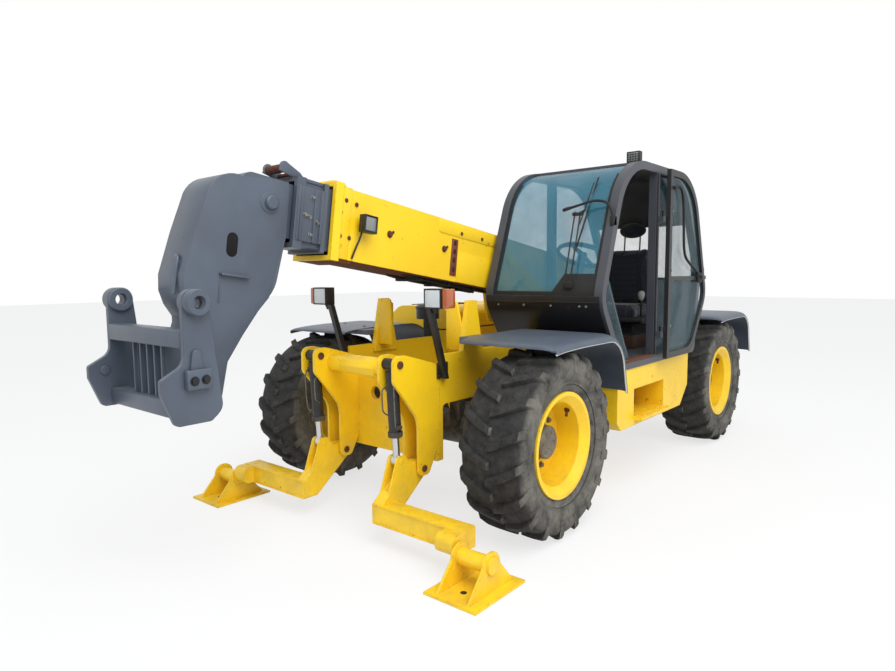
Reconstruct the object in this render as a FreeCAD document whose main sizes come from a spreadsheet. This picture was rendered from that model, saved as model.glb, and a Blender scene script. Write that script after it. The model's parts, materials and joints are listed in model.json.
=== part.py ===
import FreeCAD, Part
import math
import os
import Sketcher

# Telescopic handler with two front stabilisers, a three-section boom and a carriage on its head.
# Millimetres, +X forward, +Y to the machine's left, +Z up.  The origin is on the ground under the
# middle of the whole machine.  Most bodies are drawn from the front axle, with x counted forward of it.

SIZES = {
    # axles and wheels
    "front_axle_x": 975, "wheelbase": 2980, "axle_height": 575, "track_half": 980,
    "tyre_radius": 575, "tyre_half_width": 215, "tyre_carcass": 540, "tyre_bead_half": 165,
    "tyre_shoulder": 60, "sidewall_start": 120, "lug_count": 18, "lug_width": 48, "lug_overlap": 12,
    "lug_sweep": 40,
    "rim_flange": 325, "rim_seat": 300, "rim_gap": 0.3, "rim_wall": 14, "rim_well": 255, "rim_dish": 24, "rim_disc": 16,
    "hub_cap_radius": 95, "hub_cap_length": 90, "flange_depth": 30,
    "knuckle_offset": 660, "knuckle_height": 150, "knuckle_radius": 70, "seat_gap": 0.3,
    "yoke_wall": 40, "yoke_length": 170, "stub_radius": 85,
    "axle_tube": 110, "differential": 190, "differential_half": 115, "axle_saddle": 210, "pin_fit": 0.05,
    "steer_rod_back": 210, "steer_rod_radius": 28, "steer_tube_radius": 50,
    # chassis
    "chassis_half": 430, "side_plate": 20, "chassis_top": 1100, "chassis_front": 330, "arch_bottom": 780,
    "belly": 450, "arch_rear": 420, "belly_front": 620, "belly_rear": 2350, "rear_arch_front": 2560,
    "rear_arch_rear": 3400, "tail_bottom": 640, "chassis_rear": 4020, "tail_top": 1180, "tower_rear": 3760,
    "tower_front": 3080, "tower_top": 1520, "tower_foot": 2620, "corner_bend": 60, "dip_front": 700,
    "dip_slope": 100, "dip_top": 900, "dip_rear": 2440,
    "front_wall_bottom": 420, "front_wall_plate": 30, "front_wall_hole": 45, "front_wall_hole_y": 120,
    "front_wall_hole_height": 800, "belly_plate": 16, "tail_wall": 120, "upright_ahead": -50,
    "upright_length": 120, "upright_top": 1430, "upright_thick": 40,
    # boom pivot and lift cylinder
    "boom_pivot_back": 3400, "boom_pivot_height": 1310, "boom_tilt": 8, "pivot_radius": 60,
    "pivot_boss": 120, "pivot_side_gap": 5, "lift_pin_back": 2620, "lift_pin_height": 580,
    "lift_pin_radius": 35, "lift_ear": 25, "lift_eye_radius": 75, "lift_eye_half": 52, "eye_side_gap": 0.3,
    "lift_barrel_radius": 80, "lift_barrel_length": 1330, "lift_rod_radius": 42, "rod_fit": 0.1,
    "lift_boom_pin": 2400, "lift_boom_drop": 360, "lift_rod_start": 250, "pin_head": 12, "barrel_gap": 8, "lift_neck_radius": 46, "stay_neck_radius": 30,
    # boom
    "outer_front": 4360, "outer_back": 170, "outer_half_width": 155, "outer_half_height": 208, "boom_wall": 10,
    "collar_length": 60, "collar_wall": 18, "slider_gap": 0.3, "slider_length": 90,
    "middle_half_width": 130, "middle_half_height": 178, "middle_front": 4610, "section_overlap": 3900,
    "inner_half_width": 105, "inner_half_height": 148, "inner_wall": 9,
    "neck_start": 4640, "neck_half_width": 125, "neck_wall": 14, "neck_top_front": 4930, "neck_foot_below": 117, "neck_foot_behind": 106, "neck_foot_ahead": 19,
    "neck_waist": 4920, "neck_waist_drop": 760,
    "neck_knee": 4680, "neck_knee_drop": 430, "neck_front_mid": 5022, "neck_front_drop": 410,
    "carriage_pin_along": 5056, "carriage_pin_drop": 993, "carriage_pin_radius": 32,
    "extension_reach": 3150, "neck_bend": 70,
    # carriage
    "carriage_half_width": 382, "carriage_plate": 25, "carriage_eye_ahead": 155, "carriage_eye_height": 460,
    "carriage_eye_radius": 60, "carriage_eye_hole": 25, "carriage_tube": 36, "carriage_tube_ahead": 180,
    "carriage_top_tube": 300, "carriage_low_tube": -30, "carriage_bar": 12, "carriage_bar_step": 70,
    "carriage_ear_gap": 5, "carriage_ear": 22, "carriage_ear_radius": 62, "carriage_nose": 325,
    "carriage_nose_height": 130, "carriage_bottom": -80,
    # stabilisers
    "leg_offset": 360, "leg_half": 40, "mast_gap": 10, "mast_plate": 20, "leg_pin_ahead": 455,
    "leg_pin_height": 405, "leg_pin_radius": 25, "leg_boss": 46, "stay_pin_ahead": 660, "stay_pin_height": 1075,
    "stay_pin_radius": 22, "stay_ear": 52, "leg_knee_ahead": 690, "leg_depth": 110,
    "leg_front": 800, "foot_pin_ahead": 845, "foot_pin_height": 150, "foot_pin_radius": 45,
    "foot_offset": 1120, "foot_half_width": 165, "foot_half_length": 215, "foot_plate": 14, "foot_ear": 16,
    "foot_tube_half": 90, "foot_boss": 68, "foot_knuckle_gap": 24, "foot_knuckle": 120, "stay_lug_ahead": 625, "stay_lug_height": 480, "stay_barrel_radius": 38,
    "stay_rod_radius": 22, "stay_barrel_length": 440, "stay_rod_start": 140, "stay_eye_radius": 34, "stay_eye_half": 27,
    # cab
    "cab_inner": 190, "cab_outer": 1130, "cab_front": 500, "cab_knee": 1420, "cab_foot_back": 830,
    "cab_sill": 920, "cab_roof": 2400, "cab_roof_front": 850, "cab_roof_rear": 2020, "cab_rear": 2420,
    "cab_rear_knee": 1650, "cab_rear_foot": 2300, "cab_wall": 50, "front_bend": 480, "rear_bend": 440,
    "knee_bend": 220, "foot_bend": 220, "rear_knee_bend": 500, "rear_foot_bend": 60, "glass_thick": 6,
    "glass_gap": 1, "side_frame": 60, "door_post_back": 1420, "door_post_width": 60, "door_gap": 6,
    "door_thick": 32, "door_hinge_y": 1175, "door_frame": 48, "door_rail_height": 1560, "door_rail": 30,
    "hinge_pin_radius": 9, "hinge_eye_radius": 16, "hinge_low": 1120, "hinge_high": 1980, "hinge_tall": 40, "quarter_foot": 1060, "quarter_top_back": 630, "quarter_top": 1650, "quarter_bar": 14,
    "screen_bottom": 1450, "screen_top_back": 1150, "rear_glass_top": 2220, "rear_glass_bottom": 1560,
    # seat and controls
    "seat_ahead": -2100, "seat_side": 640, "seat_pan_height": 1330, "seat_half": 250, "seat_depth": 480,
    "seat_cushion": 120, "seat_back_height": 500, "seat_back_thick": 120, "seat_rake": 60, "head_gap": 60,
    "head_half": 130, "head_tall": 150, "head_post_radius": 7, "head_post_half": 70,
    "column_ahead": -1000, "column_radius": 35, "wheel_radius": 190, "wheel_grip": 16, "column_tilt": 25,
    "column_length": 600, "console_width": 240, "console_depth": 180,
    # fenders
    "fender_thick": 8, "fender_shift": 226, "fender_radius": 625, "fender_inner": 540, "fender_outer": 1215,
    "fender_front": 300, "fender_end": 0.36, "fender_bracket": 100, "fender_lip": 40,
    # side boxes
    "step_outer": 1120, "step_front": 800, "step_rear": 2180, "step_bottom": 490,
    "recess_front": 1080, "recess_rear": 1640, "recess_top": 760, "recess_depth": 240, "step_chamfer": 160,
    "step_toe": 60, "tread_reach": 60, "tread_thick": 20,
    "engine_outer": 1150, "engine_front": 820, "engine_rear": 2180, "engine_bottom": 500, "engine_top": 1330,
    "engine_wall": 12, "hood_gap": 12, "hood_depth": 200, "hood_slope": 160, "hood_pin_radius": 8,
    "hood_eye_radius": 16, "hood_hinge_length": 60, "hood_hinge_inset": 200, "block_length": 900,
    "block_width": 440, "block_height": 560, "engine_foot": 60,
    "intake_ahead": -640, "intake_side": -492, "intake_radius": 38, "intake_cap_radius": 95, "intake_tall": 200,
    "exhaust_back": 2540, "exhaust_side": 520, "exhaust_radius": 55, "exhaust_tall": 560,
    # lamps and mirrors
    "post_foot_ahead": 280, "post_foot_height": 1000, "post_head_ahead": 420, "post_head_height": 1400,
    "post_head_side": 520, "post_radius": 18, "post_plate": 12, "post_plate_half": 50, "lamp_depth": 90,
    "lamp_width": 130, "lamp_tall": 120, "indicator_width": 45, "work_lamp": 110, "work_lamp_depth": 60,
    "boom_lamp_along": 4130, "boom_lamp_drop": 20, "boom_lamp_stand": 60,
    "mirror_reach": 160, "mirror_height": 2000, "mirror_tall": 260, "mirror_wide": 160, "mirror_thick": 40,
}

document = FreeCAD.newDocument("telescopic_handler")
sheet = document.addObject("Spreadsheet::Sheet", "Sizes")


class Size:
    """A number together with the spreadsheet expression that gives it."""

    def __init__(self, number, text):
        self.number = number
        self.text = text

    def __add__(self, other):
        return Size(self.number + number(other), f"({self.text} + {text(other)})")

    def __sub__(self, other):
        return Size(self.number - number(other), f"({self.text} - {text(other)})")

    def __mul__(self, other):
        return Size(self.number * number(other), f"({self.text} * {text(other)})")

    def __truediv__(self, other):
        return Size(self.number / number(other), f"({self.text} / {text(other)})")

    def __radd__(self, other):
        return Size(number(other) + self.number, f"({text(other)} + {self.text})")

    def __rsub__(self, other):
        return Size(number(other) - self.number, f"({text(other)} - {self.text})")

    def __rmul__(self, other):
        return Size(number(other) * self.number, f"({text(other)} * {self.text})")

    def __neg__(self):
        return Size(-self.number, f"(0 - {self.text})")


def number(value):
    return value.number if isinstance(value, Size) else value


def text(value):
    return value.text if isinstance(value, Size) else repr(value)


class SizeTable:
    """Gives each spreadsheet alias as a Size."""

    def __getattr__(self, name):
        return Size(float(SIZES[name]), "Sizes." + name)


size = SizeTable()


def fill_sheet():
    for row, (alias, value) in enumerate(SIZES.items(), start=1):
        sheet.set(f"A{row}", alias)
        sheet.set(f"B{row}", str(value))
        sheet.setAlias(f"B{row}", alias)
    document.recompute()


def bind(target, path, value):
    """Set a property to a size, through its expression where it has one."""
    if isinstance(value, Size):
        target.setExpression(path, value.text)


PLANES = {"XY": ("XY_Plane", 1), "XZ": ("XZ_Plane", -1), "YZ": ("YZ_Plane", 1)}


class Piece:
    """A PartDesign body built from sketches on its own origin planes."""

    def __init__(self, name, x=0, y=0, z=0, turn_axis=None, turn=0):
        self.body = document.addObject("PartDesign::Body", name)
        self.body.Label = name
        self.body.AllowCompound = True
        self.count = 0
        axis = FreeCAD.Vector(*turn_axis) if turn_axis else FreeCAD.Vector(0, 0, 1)
        base = FreeCAD.Vector(number(x), number(y), number(z))
        self.body.Placement = FreeCAD.Placement(base, FreeCAD.Rotation(axis, number(turn)))
        bind(self.body, "Placement.Base.x", x)
        bind(self.body, "Placement.Base.y", y)
        bind(self.body, "Placement.Base.z", z)
        if isinstance(turn, Size):
            bind(self.body, "Placement.Rotation.Angle", turn)

    def next_name(self, kind):
        self.count += 1
        return f"{self.body.Name}_{kind}_{self.count}"

    def sketch(self, plane, offset, loops):
        role, facing = PLANES[plane]
        made = self.body.newObject("Sketcher::SketchObject", self.next_name("sketch"))
        support = [item for item in self.body.Origin.OriginFeatures if item.Role == role][0]
        made.AttachmentSupport = (support, [""])
        made.MapMode = "FlatFace"
        made.AttachmentOffset = FreeCAD.Placement(
            FreeCAD.Vector(0, 0, facing * number(offset)), FreeCAD.Rotation())
        bind(made, "AttachmentOffset.Base.z", facing * offset)
        for loop in loops:
            if isinstance(loop, Round):
                loop.draw(made)
            else:
                draw_outline(made, loop)
        return made

    def add(self, plane, start, end, *loops):
        """Pad the loops from start to end along the plane's axis."""
        near, far = (start, end) if number(start) < number(end) else (end, start)
        facing = PLANES[plane][1]
        profile = self.sketch(plane, near if facing > 0 else far, loops)
        pad = self.body.newObject("PartDesign::Pad", self.next_name("pad"))
        pad.Profile = profile
        pad.Length = number(far) - number(near)
        bind(pad, "Length", far - near)
        return pad

    def cut(self, plane, start, end, *loops):
        """Pocket the loops from start to end along the plane's axis."""
        near, far = (start, end) if number(start) < number(end) else (end, start)
        facing = PLANES[plane][1]
        profile = self.sketch(plane, far if facing > 0 else near, loops)
        pocket = self.body.newObject("PartDesign::Pocket", self.next_name("pocket"))
        pocket.Profile = profile
        pocket.Length = number(far) - number(near)
        bind(pocket, "Length", far - near)
        return pocket

    def turn(self, plane, axis, *loops):
        """Revolve the loops about the sketch's own H_Axis or V_Axis."""
        profile = self.sketch(plane, NOUGHT, loops)
        self.turned_profile = profile
        made = self.body.newObject("PartDesign::Revolution", self.next_name("turned"))
        made.Profile = profile
        made.ReferenceAxis = (profile, [axis])
        made.Angle = 360
        return made


class Round:
    """A full circle in a sketch."""

    def __init__(self, across, up, radius):
        self.across = across
        self.up = up
        self.radius = radius

    def draw(self, made):
        middle = FreeCAD.Vector(number(self.across), number(self.up), 0)
        circle = Part.Circle(middle, FreeCAD.Vector(0, 0, 1), number(self.radius))
        index = made.addGeometry(circle)
        constrain(made, "Radius", index, None, self.radius)
        constrain_point(made, index, 3, self.across, self.up)


def constrain(made, kind, index, corner, value):
    if corner is None:
        rule = Sketcher.Constraint(kind, index, number(value))
    else:
        rule = Sketcher.Constraint(kind, -1, 1, index, corner, number(value))
    place = made.addConstraint(rule)
    bind(made, f"Constraints[{place}]", value)


def constrain_point(made, index, corner, across, up):
    constrain(made, "DistanceX", index, corner, across)
    constrain(made, "DistanceY", index, corner, up)


def draw_outline(made, corners):
    """Draw a closed outline.  A corner is (across, up) or (across, up, bend radius)."""
    points = [FreeCAD.Vector(number(corner[0]), number(corner[1]), 0) for corner in corners]
    count = len(points)
    bends = []
    for place, corner in enumerate(corners):
        back = (points[place - 1] - points[place]).normalize()
        ahead = (points[(place + 1) % count] - points[place]).normalize()
        reach = 0
        if len(corner) > 2:
            reach = number(corner[2]) / math.tan(back.getAngle(ahead) / 2)
        bends.append((points[place] + back * reach, points[place] + ahead * reach, back, ahead))
    lines = []
    for place in range(count):
        edge = Part.LineSegment(bends[place][1], bends[(place + 1) % count][0])
        lines.append(made.addGeometry(edge))
    for place, corner in enumerate(corners):
        before, after = lines[place - 1], lines[place]
        if len(corner) == 2:
            made.addConstraint(Sketcher.Constraint("Coincident", before, 2, after, 1))
            constrain_point(made, after, 1, corner[0], corner[1])
            continue
        start, end, back, ahead = bends[place]
        inward = (back + ahead).normalize()
        radius = number(corner[2])
        half_angle = back.getAngle(ahead) / 2
        middle = points[place] + inward * (radius / math.sin(half_angle) - radius)
        turns_left = back.cross(ahead).z < 0
        bend = Part.Arc(start, middle, end) if turns_left else Part.Arc(end, middle, start)
        arc = made.addGeometry(bend)
        first = 1 if turns_left else 2
        made.addConstraint(Sketcher.Constraint("Tangent", before, 2, arc, first))
        made.addConstraint(Sketcher.Constraint("Tangent", after, 1, arc, 3 - first))
        constrain(made, "Radius", arc, None, corner[2])
        apex = made.addGeometry(Part.Point(points[place]), True)
        made.addConstraint(Sketcher.Constraint("PointOnObject", apex, 1, before))
        made.addConstraint(Sketcher.Constraint("PointOnObject", apex, 1, after))
        constrain_point(made, apex, 1, corner[0], corner[1])


NOUGHT = Size(0.0, "0")


def cosine_and_sine(alias):
    """Cosine and sine of a size that is an angle in degrees."""
    angle = math.radians(SIZES[alias])
    return Size(math.cos(angle), f"cos(Sizes.{alias})"), Size(math.sin(angle), f"sin(Sizes.{alias})")


def box_loop(left, bottom, right, top):
    return [(left, bottom), (right, bottom), (right, top), (left, top)]


def machine_piece(name):
    """A body drawn from the front axle's middle at ground level."""
    return Piece(name, x=size.front_axle_x)


def axle_x(rear):
    return -size.wheelbase if rear else NOUGHT


# ---------------------------------------------------------------- chassis

def side_plate_outline():
    bend = size.corner_bend
    front = size.chassis_front - size.front_wall_plate
    return [
        (front, size.chassis_top),
        (front, size.front_wall_bottom),
        (size.chassis_front - bend, size.front_wall_bottom),
        (size.chassis_front - bend, size.arch_bottom, bend * 0.5),
        (-size.arch_rear, size.arch_bottom, bend),
        (-size.belly_front, size.belly, bend),
        (-size.belly_rear, size.belly, bend),
        (-size.rear_arch_front, size.arch_bottom, bend),
        (-size.rear_arch_rear, size.arch_bottom, bend),
        (-size.rear_arch_rear - bend * 2, size.tail_bottom, bend),
        (-size.chassis_rear, size.tail_bottom, bend),
        (-size.chassis_rear, size.tail_top, bend),
        (-size.tower_rear, size.tower_top, bend),
        (-size.tower_front, size.tower_top, bend),
        (-size.tower_foot, size.chassis_top, bend),
        (-size.dip_rear, size.dip_top, bend),
        (-size.dip_front - size.dip_slope, size.dip_top, bend),
        (-size.dip_front, size.chassis_top, bend),
    ]


def mast_outline():
    """Stabiliser mast plate: an ear for the stay cylinder on top, a foot round the leg's pin below."""
    boss, ear = size.leg_boss, size.stay_ear
    rear = size.chassis_front
    return [
        (rear, size.chassis_top - ear),
        (rear, size.leg_pin_height + boss * 2),
        (size.leg_pin_ahead - boss, size.leg_pin_height - boss, boss * 0.8),
        (size.leg_pin_ahead + boss, size.leg_pin_height - boss, boss * 0.9),
        (size.leg_pin_ahead + boss, size.leg_pin_height + ear * 6, ear * 3),
        (size.stay_pin_ahead + ear, size.stay_pin_height - ear * 2, ear * 0.7),
        (size.stay_pin_ahead + ear, size.stay_pin_height + ear, ear * 0.9),
        (size.stay_pin_ahead - ear, size.stay_pin_height + ear, ear * 0.9),
    ]


def build_front_frame():
    """Front wall of the chassis with two mast plates a side for each stabiliser leg and its stay."""
    piece = machine_piece("front_frame")
    half = size.chassis_half
    piece.add("YZ", size.chassis_front - size.front_wall_plate, size.chassis_front,
              box_loop(-half, size.front_wall_bottom, half, size.chassis_top - size.corner_bend),
              Round(size.front_wall_hole_y, size.front_wall_hole_height, size.front_wall_hole),
              Round(-size.front_wall_hole_y, size.front_wall_hole_height, size.front_wall_hole))
    reach = size.leg_half + size.mast_gap + size.mast_plate
    for side in (1, -1):
        for edge in (1, -1):
            face = side * size.leg_offset + edge * (size.leg_half + size.mast_gap)
            piece.add("XZ", face, face + edge * size.mast_plate, mast_outline())
        for ahead, height, radius in (
                (size.leg_pin_ahead, size.leg_pin_height, size.leg_pin_radius),
                (size.stay_pin_ahead, size.stay_pin_height, size.stay_pin_radius)):
            piece.add("XZ", side * size.leg_offset - reach, side * size.leg_offset + reach,
                      Round(ahead, height, radius))
    inner = size.leg_offset - size.leg_half - size.mast_gap
    piece.add("XZ", -inner, inner,
              Round(size.stay_pin_ahead - size.stay_ear * 2, size.stay_pin_height - size.stay_ear, size.stay_ear))
    return piece.body


def build_chassis():
    piece = machine_piece("chassis_frame")
    inside = size.chassis_half - size.side_plate
    for side in (1, -1):
        piece.add("XZ", side * inside, side * size.chassis_half, side_plate_outline())
    piece.add("XY", size.belly, size.belly + size.belly_plate,
              box_loop(-size.belly_rear, -inside, -size.belly_front, inside))
    piece.add("YZ", -size.chassis_rear, -size.chassis_rear + size.tail_wall,
              box_loop(-inside, size.tail_bottom, inside, size.tail_top - size.corner_bend))
    for side in (1, -1):
        boss_end = side * (size.outer_half_width + size.pivot_side_gap)
        piece.add("XZ", boss_end, side * size.chassis_half,
                  Round(-size.boom_pivot_back, size.boom_pivot_height, size.pivot_boss))
        piece.add("XZ", side * (size.lift_eye_half + size.eye_side_gap), side * size.chassis_half,
                  Round(-size.lift_pin_back, size.lift_pin_height, size.lift_eye_radius))
        piece.add("XZ", side * size.chassis_half, side * (size.chassis_half - size.upright_thick), [
            (size.upright_ahead - size.upright_length, size.chassis_top - size.corner_bend),
            (size.upright_ahead + size.upright_length, size.chassis_top - size.corner_bend),
            (size.upright_ahead + size.upright_thick, size.upright_top),
            (size.upright_ahead - size.upright_thick, size.upright_top),
        ])
    piece.add("XZ", -size.lift_eye_half - size.lift_ear, size.lift_eye_half + size.lift_ear,
              Round(-size.lift_pin_back, size.lift_pin_height, size.lift_pin_radius))
    pivot_reach = size.outer_half_width + size.pivot_side_gap
    piece.add("XZ", -pivot_reach, pivot_reach,
              Round(-size.boom_pivot_back, size.boom_pivot_height, size.pivot_radius))
    return piece.body


def build_axle(name, rear):
    """Axle beam with its differential, the yokes for the knuckles and the steering cylinder."""
    piece = machine_piece(name)
    middle = axle_x(rear)
    yoke_start = size.knuckle_offset - size.yoke_length
    inner = size.knuckle_height + size.seat_gap
    outer = inner + size.yoke_wall
    knuckle = size.knuckle_radius
    piece.add("XZ", -yoke_start, yoke_start, Round(middle, size.axle_height, size.axle_tube))
    piece.add("XZ", -size.differential_half, size.differential_half,
              Round(middle, size.axle_height, size.differential))
    for side in (1, -1):
        saddle = side * (size.chassis_half - size.side_plate * 4)
        piece.add("XZ", saddle, side * size.chassis_half,
                  box_loop(middle - size.axle_saddle / 2, size.axle_height,
                           middle + size.axle_saddle / 2, size.arch_bottom))
        for level in (1, -1):
            piece.add("XY", size.axle_height + level * inner, size.axle_height + level * outer,
                      box_loop(middle - knuckle, side * (yoke_start - size.yoke_wall),
                               middle + knuckle, side * (size.knuckle_offset + knuckle)))
        piece.add("XZ", side * (yoke_start - size.yoke_wall), side * yoke_start,
                  box_loop(middle - knuckle, size.axle_height - outer,
                           middle + knuckle, size.axle_height + outer))
    inward = 1 if rear else -1
    rod = middle + inward * size.steer_rod_back
    piece.add("XZ", -yoke_start, yoke_start, Round(rod, size.axle_height, size.steer_rod_radius))
    piece.add("XZ", -yoke_start / 2, yoke_start / 2, Round(rod, size.axle_height, size.steer_tube_radius))
    piece.add("XY", size.axle_height - size.steer_rod_radius, size.axle_height + size.steer_rod_radius,
              box_loop(middle, -size.steer_tube_radius, rod, size.steer_tube_radius))
    return piece.body


# ---------------------------------------------------------------- wheels

def wheel_places():
    """Wheel name, whether it is at the rear, and its side."""
    return [("front_left", False, 1), ("front_right", False, -1), ("rear_left", True, 1), ("rear_right", True, -1)]


def wheel_piece(name, rear, side, offset):
    """A body at a wheel's height.  The right side is the left one turned half round the vertical."""
    return Piece(name, x=size.front_axle_x + axle_x(rear), y=side * offset, z=size.axle_height,
                 turn_axis=(0, 0, 1), turn=0 if side > 0 else 180)


def build_knuckle(where, rear, side):
    piece = wheel_piece(f"{where}_knuckle", rear, side, size.knuckle_offset)
    piece.add("XY", -size.knuckle_height, size.knuckle_height, Round(NOUGHT, NOUGHT, size.knuckle_radius))
    hub_seat = size.track_half - size.knuckle_offset - size.rim_dish - size.rim_disc - size.seat_gap
    piece.add("XZ", NOUGHT, hub_seat, Round(NOUGHT, NOUGHT, size.stub_radius))
    return piece.body


def lug_outline():
    """One slanted bar of the chevron tread, seen from outside the tyre's crown."""
    sweep, width = size.lug_sweep, size.lug_width
    half = size.tyre_half_width
    return [
        (-size.lug_overlap, -sweep - width / 2),
        (half, sweep * 2 - width / 2),
        (half, sweep * 2 + width / 2),
        (-size.lug_overlap, -sweep + width / 2),
    ]


def build_tyre(where, rear, side):
    """Carcass revolved about the axle, with a ring of chevron lugs out to the full radius."""
    piece = wheel_piece(f"{where}_tyre", rear, side, size.track_half)
    half = size.tyre_half_width
    bead, seat = size.tyre_bead_half, size.rim_seat + size.rim_gap
    shoulder = size.rim_flange + size.sidewall_start
    piece.turn("YZ", "H_Axis", [
        (-bead, seat),
        (bead, seat),
        (bead, size.rim_flange + size.rim_gap),
        (half, shoulder, size.tyre_shoulder),
        (half, size.tyre_carcass, size.tyre_shoulder / 2),
        (-half, size.tyre_carcass, size.tyre_shoulder / 2),
        (-half, shoulder, size.tyre_shoulder),
        (-bead, size.rim_flange + size.rim_gap),
    ])
    lugs = []
    for hand in (1, -1):
        outline = [(hand * across, -side * along) for across, along in lug_outline()]
        bar = piece.add("XY", size.tyre_carcass - size.tyre_shoulder / 2, size.tyre_radius, tilted(outline))
        lugs.append(bar)
    pattern = piece.body.newObject("PartDesign::PolarPattern", piece.next_name("pattern"))
    pattern.Originals = lugs
    pattern.Axis = (piece.turned_profile, ["H_Axis"])
    pattern.Angle = 360
    pattern.Occurrences = SIZES["lug_count"]
    bind(pattern, "Occurrences", size.lug_count)
    piece.body.Tip = pattern
    return piece.body


def tilted(outline):
    """Swap across and along so that the lug lies across the tyre."""
    return [(along, across) for across, along in outline]


def build_rim(where, rear, side):
    """Deep dished rim: flanges, well and disc with a hub cap, revolved about the axle."""
    piece = wheel_piece(f"{where}_rim", rear, side, size.track_half)
    half = size.tyre_bead_half + size.rim_gap
    disc_out = -size.rim_dish
    disc_in = disc_out - size.rim_disc
    hub = disc_out + size.hub_cap_length
    wall = size.rim_wall
    piece.turn("YZ", "H_Axis", [
        (disc_in, NOUGHT),
        (hub, NOUGHT),
        (hub, size.hub_cap_radius),
        (disc_out, size.hub_cap_radius),
        (disc_out, size.rim_well),
        (half - size.flange_depth, size.rim_well),
        (half + wall, size.rim_seat),
        (half + wall, size.rim_flange),
        (half, size.rim_flange),
        (half, size.rim_seat),
        (-half, size.rim_seat),
        (-half, size.rim_flange),
        (-half - wall, size.rim_flange),
        (-half - wall, size.rim_seat),
        (size.flange_depth - half, size.rim_well),
        (disc_in, size.rim_well),
    ])
    return piece.body


# ---------------------------------------------------------------- boom

def boom_piece(name):
    """A body in the boom's own frame: x along the boom from its pivot."""
    return Piece(name, x=size.front_axle_x - size.boom_pivot_back, z=size.boom_pivot_height,
                 turn_axis=(0, 1, 0), turn=-size.boom_tilt)


def add_tube(piece, start, end, half_width, half_height, wall):
    outer = box_loop(-half_width, -half_height, half_width, half_height)
    inner = box_loop(wall - half_width, wall - half_height, half_width - wall, half_height - wall)
    piece.add("YZ", start, end, outer, inner)


def add_sliders(piece, at, half_width, half_height, outer_half_width, outer_half_height):
    """Slide pads between a section and the one round it, at the end of the outer one."""
    step = size.slider_length
    gap = size.slider_gap
    wide = outer_half_width - size.boom_wall - gap
    tall = outer_half_height - size.boom_wall - gap
    piece.add("YZ", at - step, at,
              box_loop(-half_width / 2, half_height, half_width / 2, tall),
              box_loop(-half_width / 2, -tall, half_width / 2, -half_height),
              box_loop(half_width, -half_height / 2, wide, half_height / 2),
              box_loop(-wide, -half_height / 2, -half_width, half_height / 2))


def build_boom_outer():
    piece = boom_piece("boom_outer")
    wide, tall = size.outer_half_width, size.outer_half_height
    add_tube(piece, -size.outer_back, size.outer_front, wide, tall, size.boom_wall)
    add_tube(piece, size.outer_front - size.collar_length, size.outer_front,
             wide + size.collar_wall, tall + size.collar_wall, size.collar_wall + size.boom_wall)
    ear = size.lift_eye_radius
    for side in (1, -1):
        face = side * (size.lift_eye_half + size.eye_side_gap)
        piece.add("XZ", face, face + side * size.lift_ear, [
            (size.lift_boom_pin - ear, -tall),
            (size.lift_boom_pin - ear, -size.lift_boom_drop - ear, ear * 0.8),
            (size.lift_boom_pin + ear, -size.lift_boom_drop - ear, ear * 0.8),
            (size.lift_boom_pin + ear * 2, -tall),
        ])
        head = face + side * size.lift_ear
        piece.add("XZ", head, head + side * size.pin_head,
                  Round(size.lift_boom_pin, -size.lift_boom_drop, size.lift_pin_radius))
    piece.cut("XZ", -wide * 2, wide * 2, Round(NOUGHT, NOUGHT, size.pivot_radius + size.pin_fit))
    return piece.body


def build_boom_middle():
    piece = boom_piece("boom_middle")
    wide, tall = size.middle_half_width, size.middle_half_height
    rear = size.outer_front - size.section_overlap
    add_tube(piece, rear, size.middle_front, wide, tall, size.boom_wall)
    add_tube(piece, size.middle_front - size.collar_length, size.middle_front,
             wide + size.collar_wall, tall + size.collar_wall, size.collar_wall + size.boom_wall)
    add_tube(piece, size.outer_front + size.collar_length / 2, size.outer_front + size.collar_length,
             wide + size.collar_wall, tall + size.collar_wall, size.collar_wall + size.boom_wall)
    add_sliders(piece, rear + size.slider_length, wide, tall, size.outer_half_width, size.outer_half_height)
    return piece.body


def neck_outline():
    """Gooseneck head from the inner section's end down to the carriage pin."""
    top = size.inner_half_height
    foot = -size.carriage_pin_drop - size.neck_foot_below
    bend = size.neck_bend
    return [
        (size.neck_start, top, bend / 2),
        (size.neck_start, -top, bend),
        (size.neck_knee, -size.neck_knee_drop, bend * 3),
        (size.neck_waist, -size.neck_waist_drop, bend * 2),
        (size.carriage_pin_along - size.neck_foot_behind, foot, bend / 2),
        (size.carriage_pin_along + size.neck_foot_ahead, foot, bend / 2),
        (size.neck_front_mid, -size.neck_front_drop, bend * 3),
        (size.neck_top_front, top, bend),
    ]


def build_boom_inner():
    piece = boom_piece("boom_inner")
    wide, tall = size.inner_half_width, size.inner_half_height
    rear = size.outer_front - size.section_overlap + size.slider_length
    add_tube(piece, rear, size.neck_start, wide, tall, size.inner_wall)
    add_sliders(piece, rear + size.slider_length, wide, tall, size.middle_half_width, size.middle_half_height)
    piece.add("XZ", -size.neck_half_width, size.neck_half_width, neck_outline())
    piece.cut("XZ", -size.neck_half_width * 2, size.neck_half_width * 2,
              Round(size.carriage_pin_along, -size.carriage_pin_drop, size.carriage_pin_radius + size.pin_fit))
    return piece.body


def machine_place(along, up):
    """A place in the boom's own frame, forward of the front axle and above the ground."""
    cosine, sine = cosine_and_sine("boom_tilt")
    ahead = along * cosine - up * sine - size.boom_pivot_back
    return ahead, along * sine + up * cosine + size.boom_pivot_height


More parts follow.
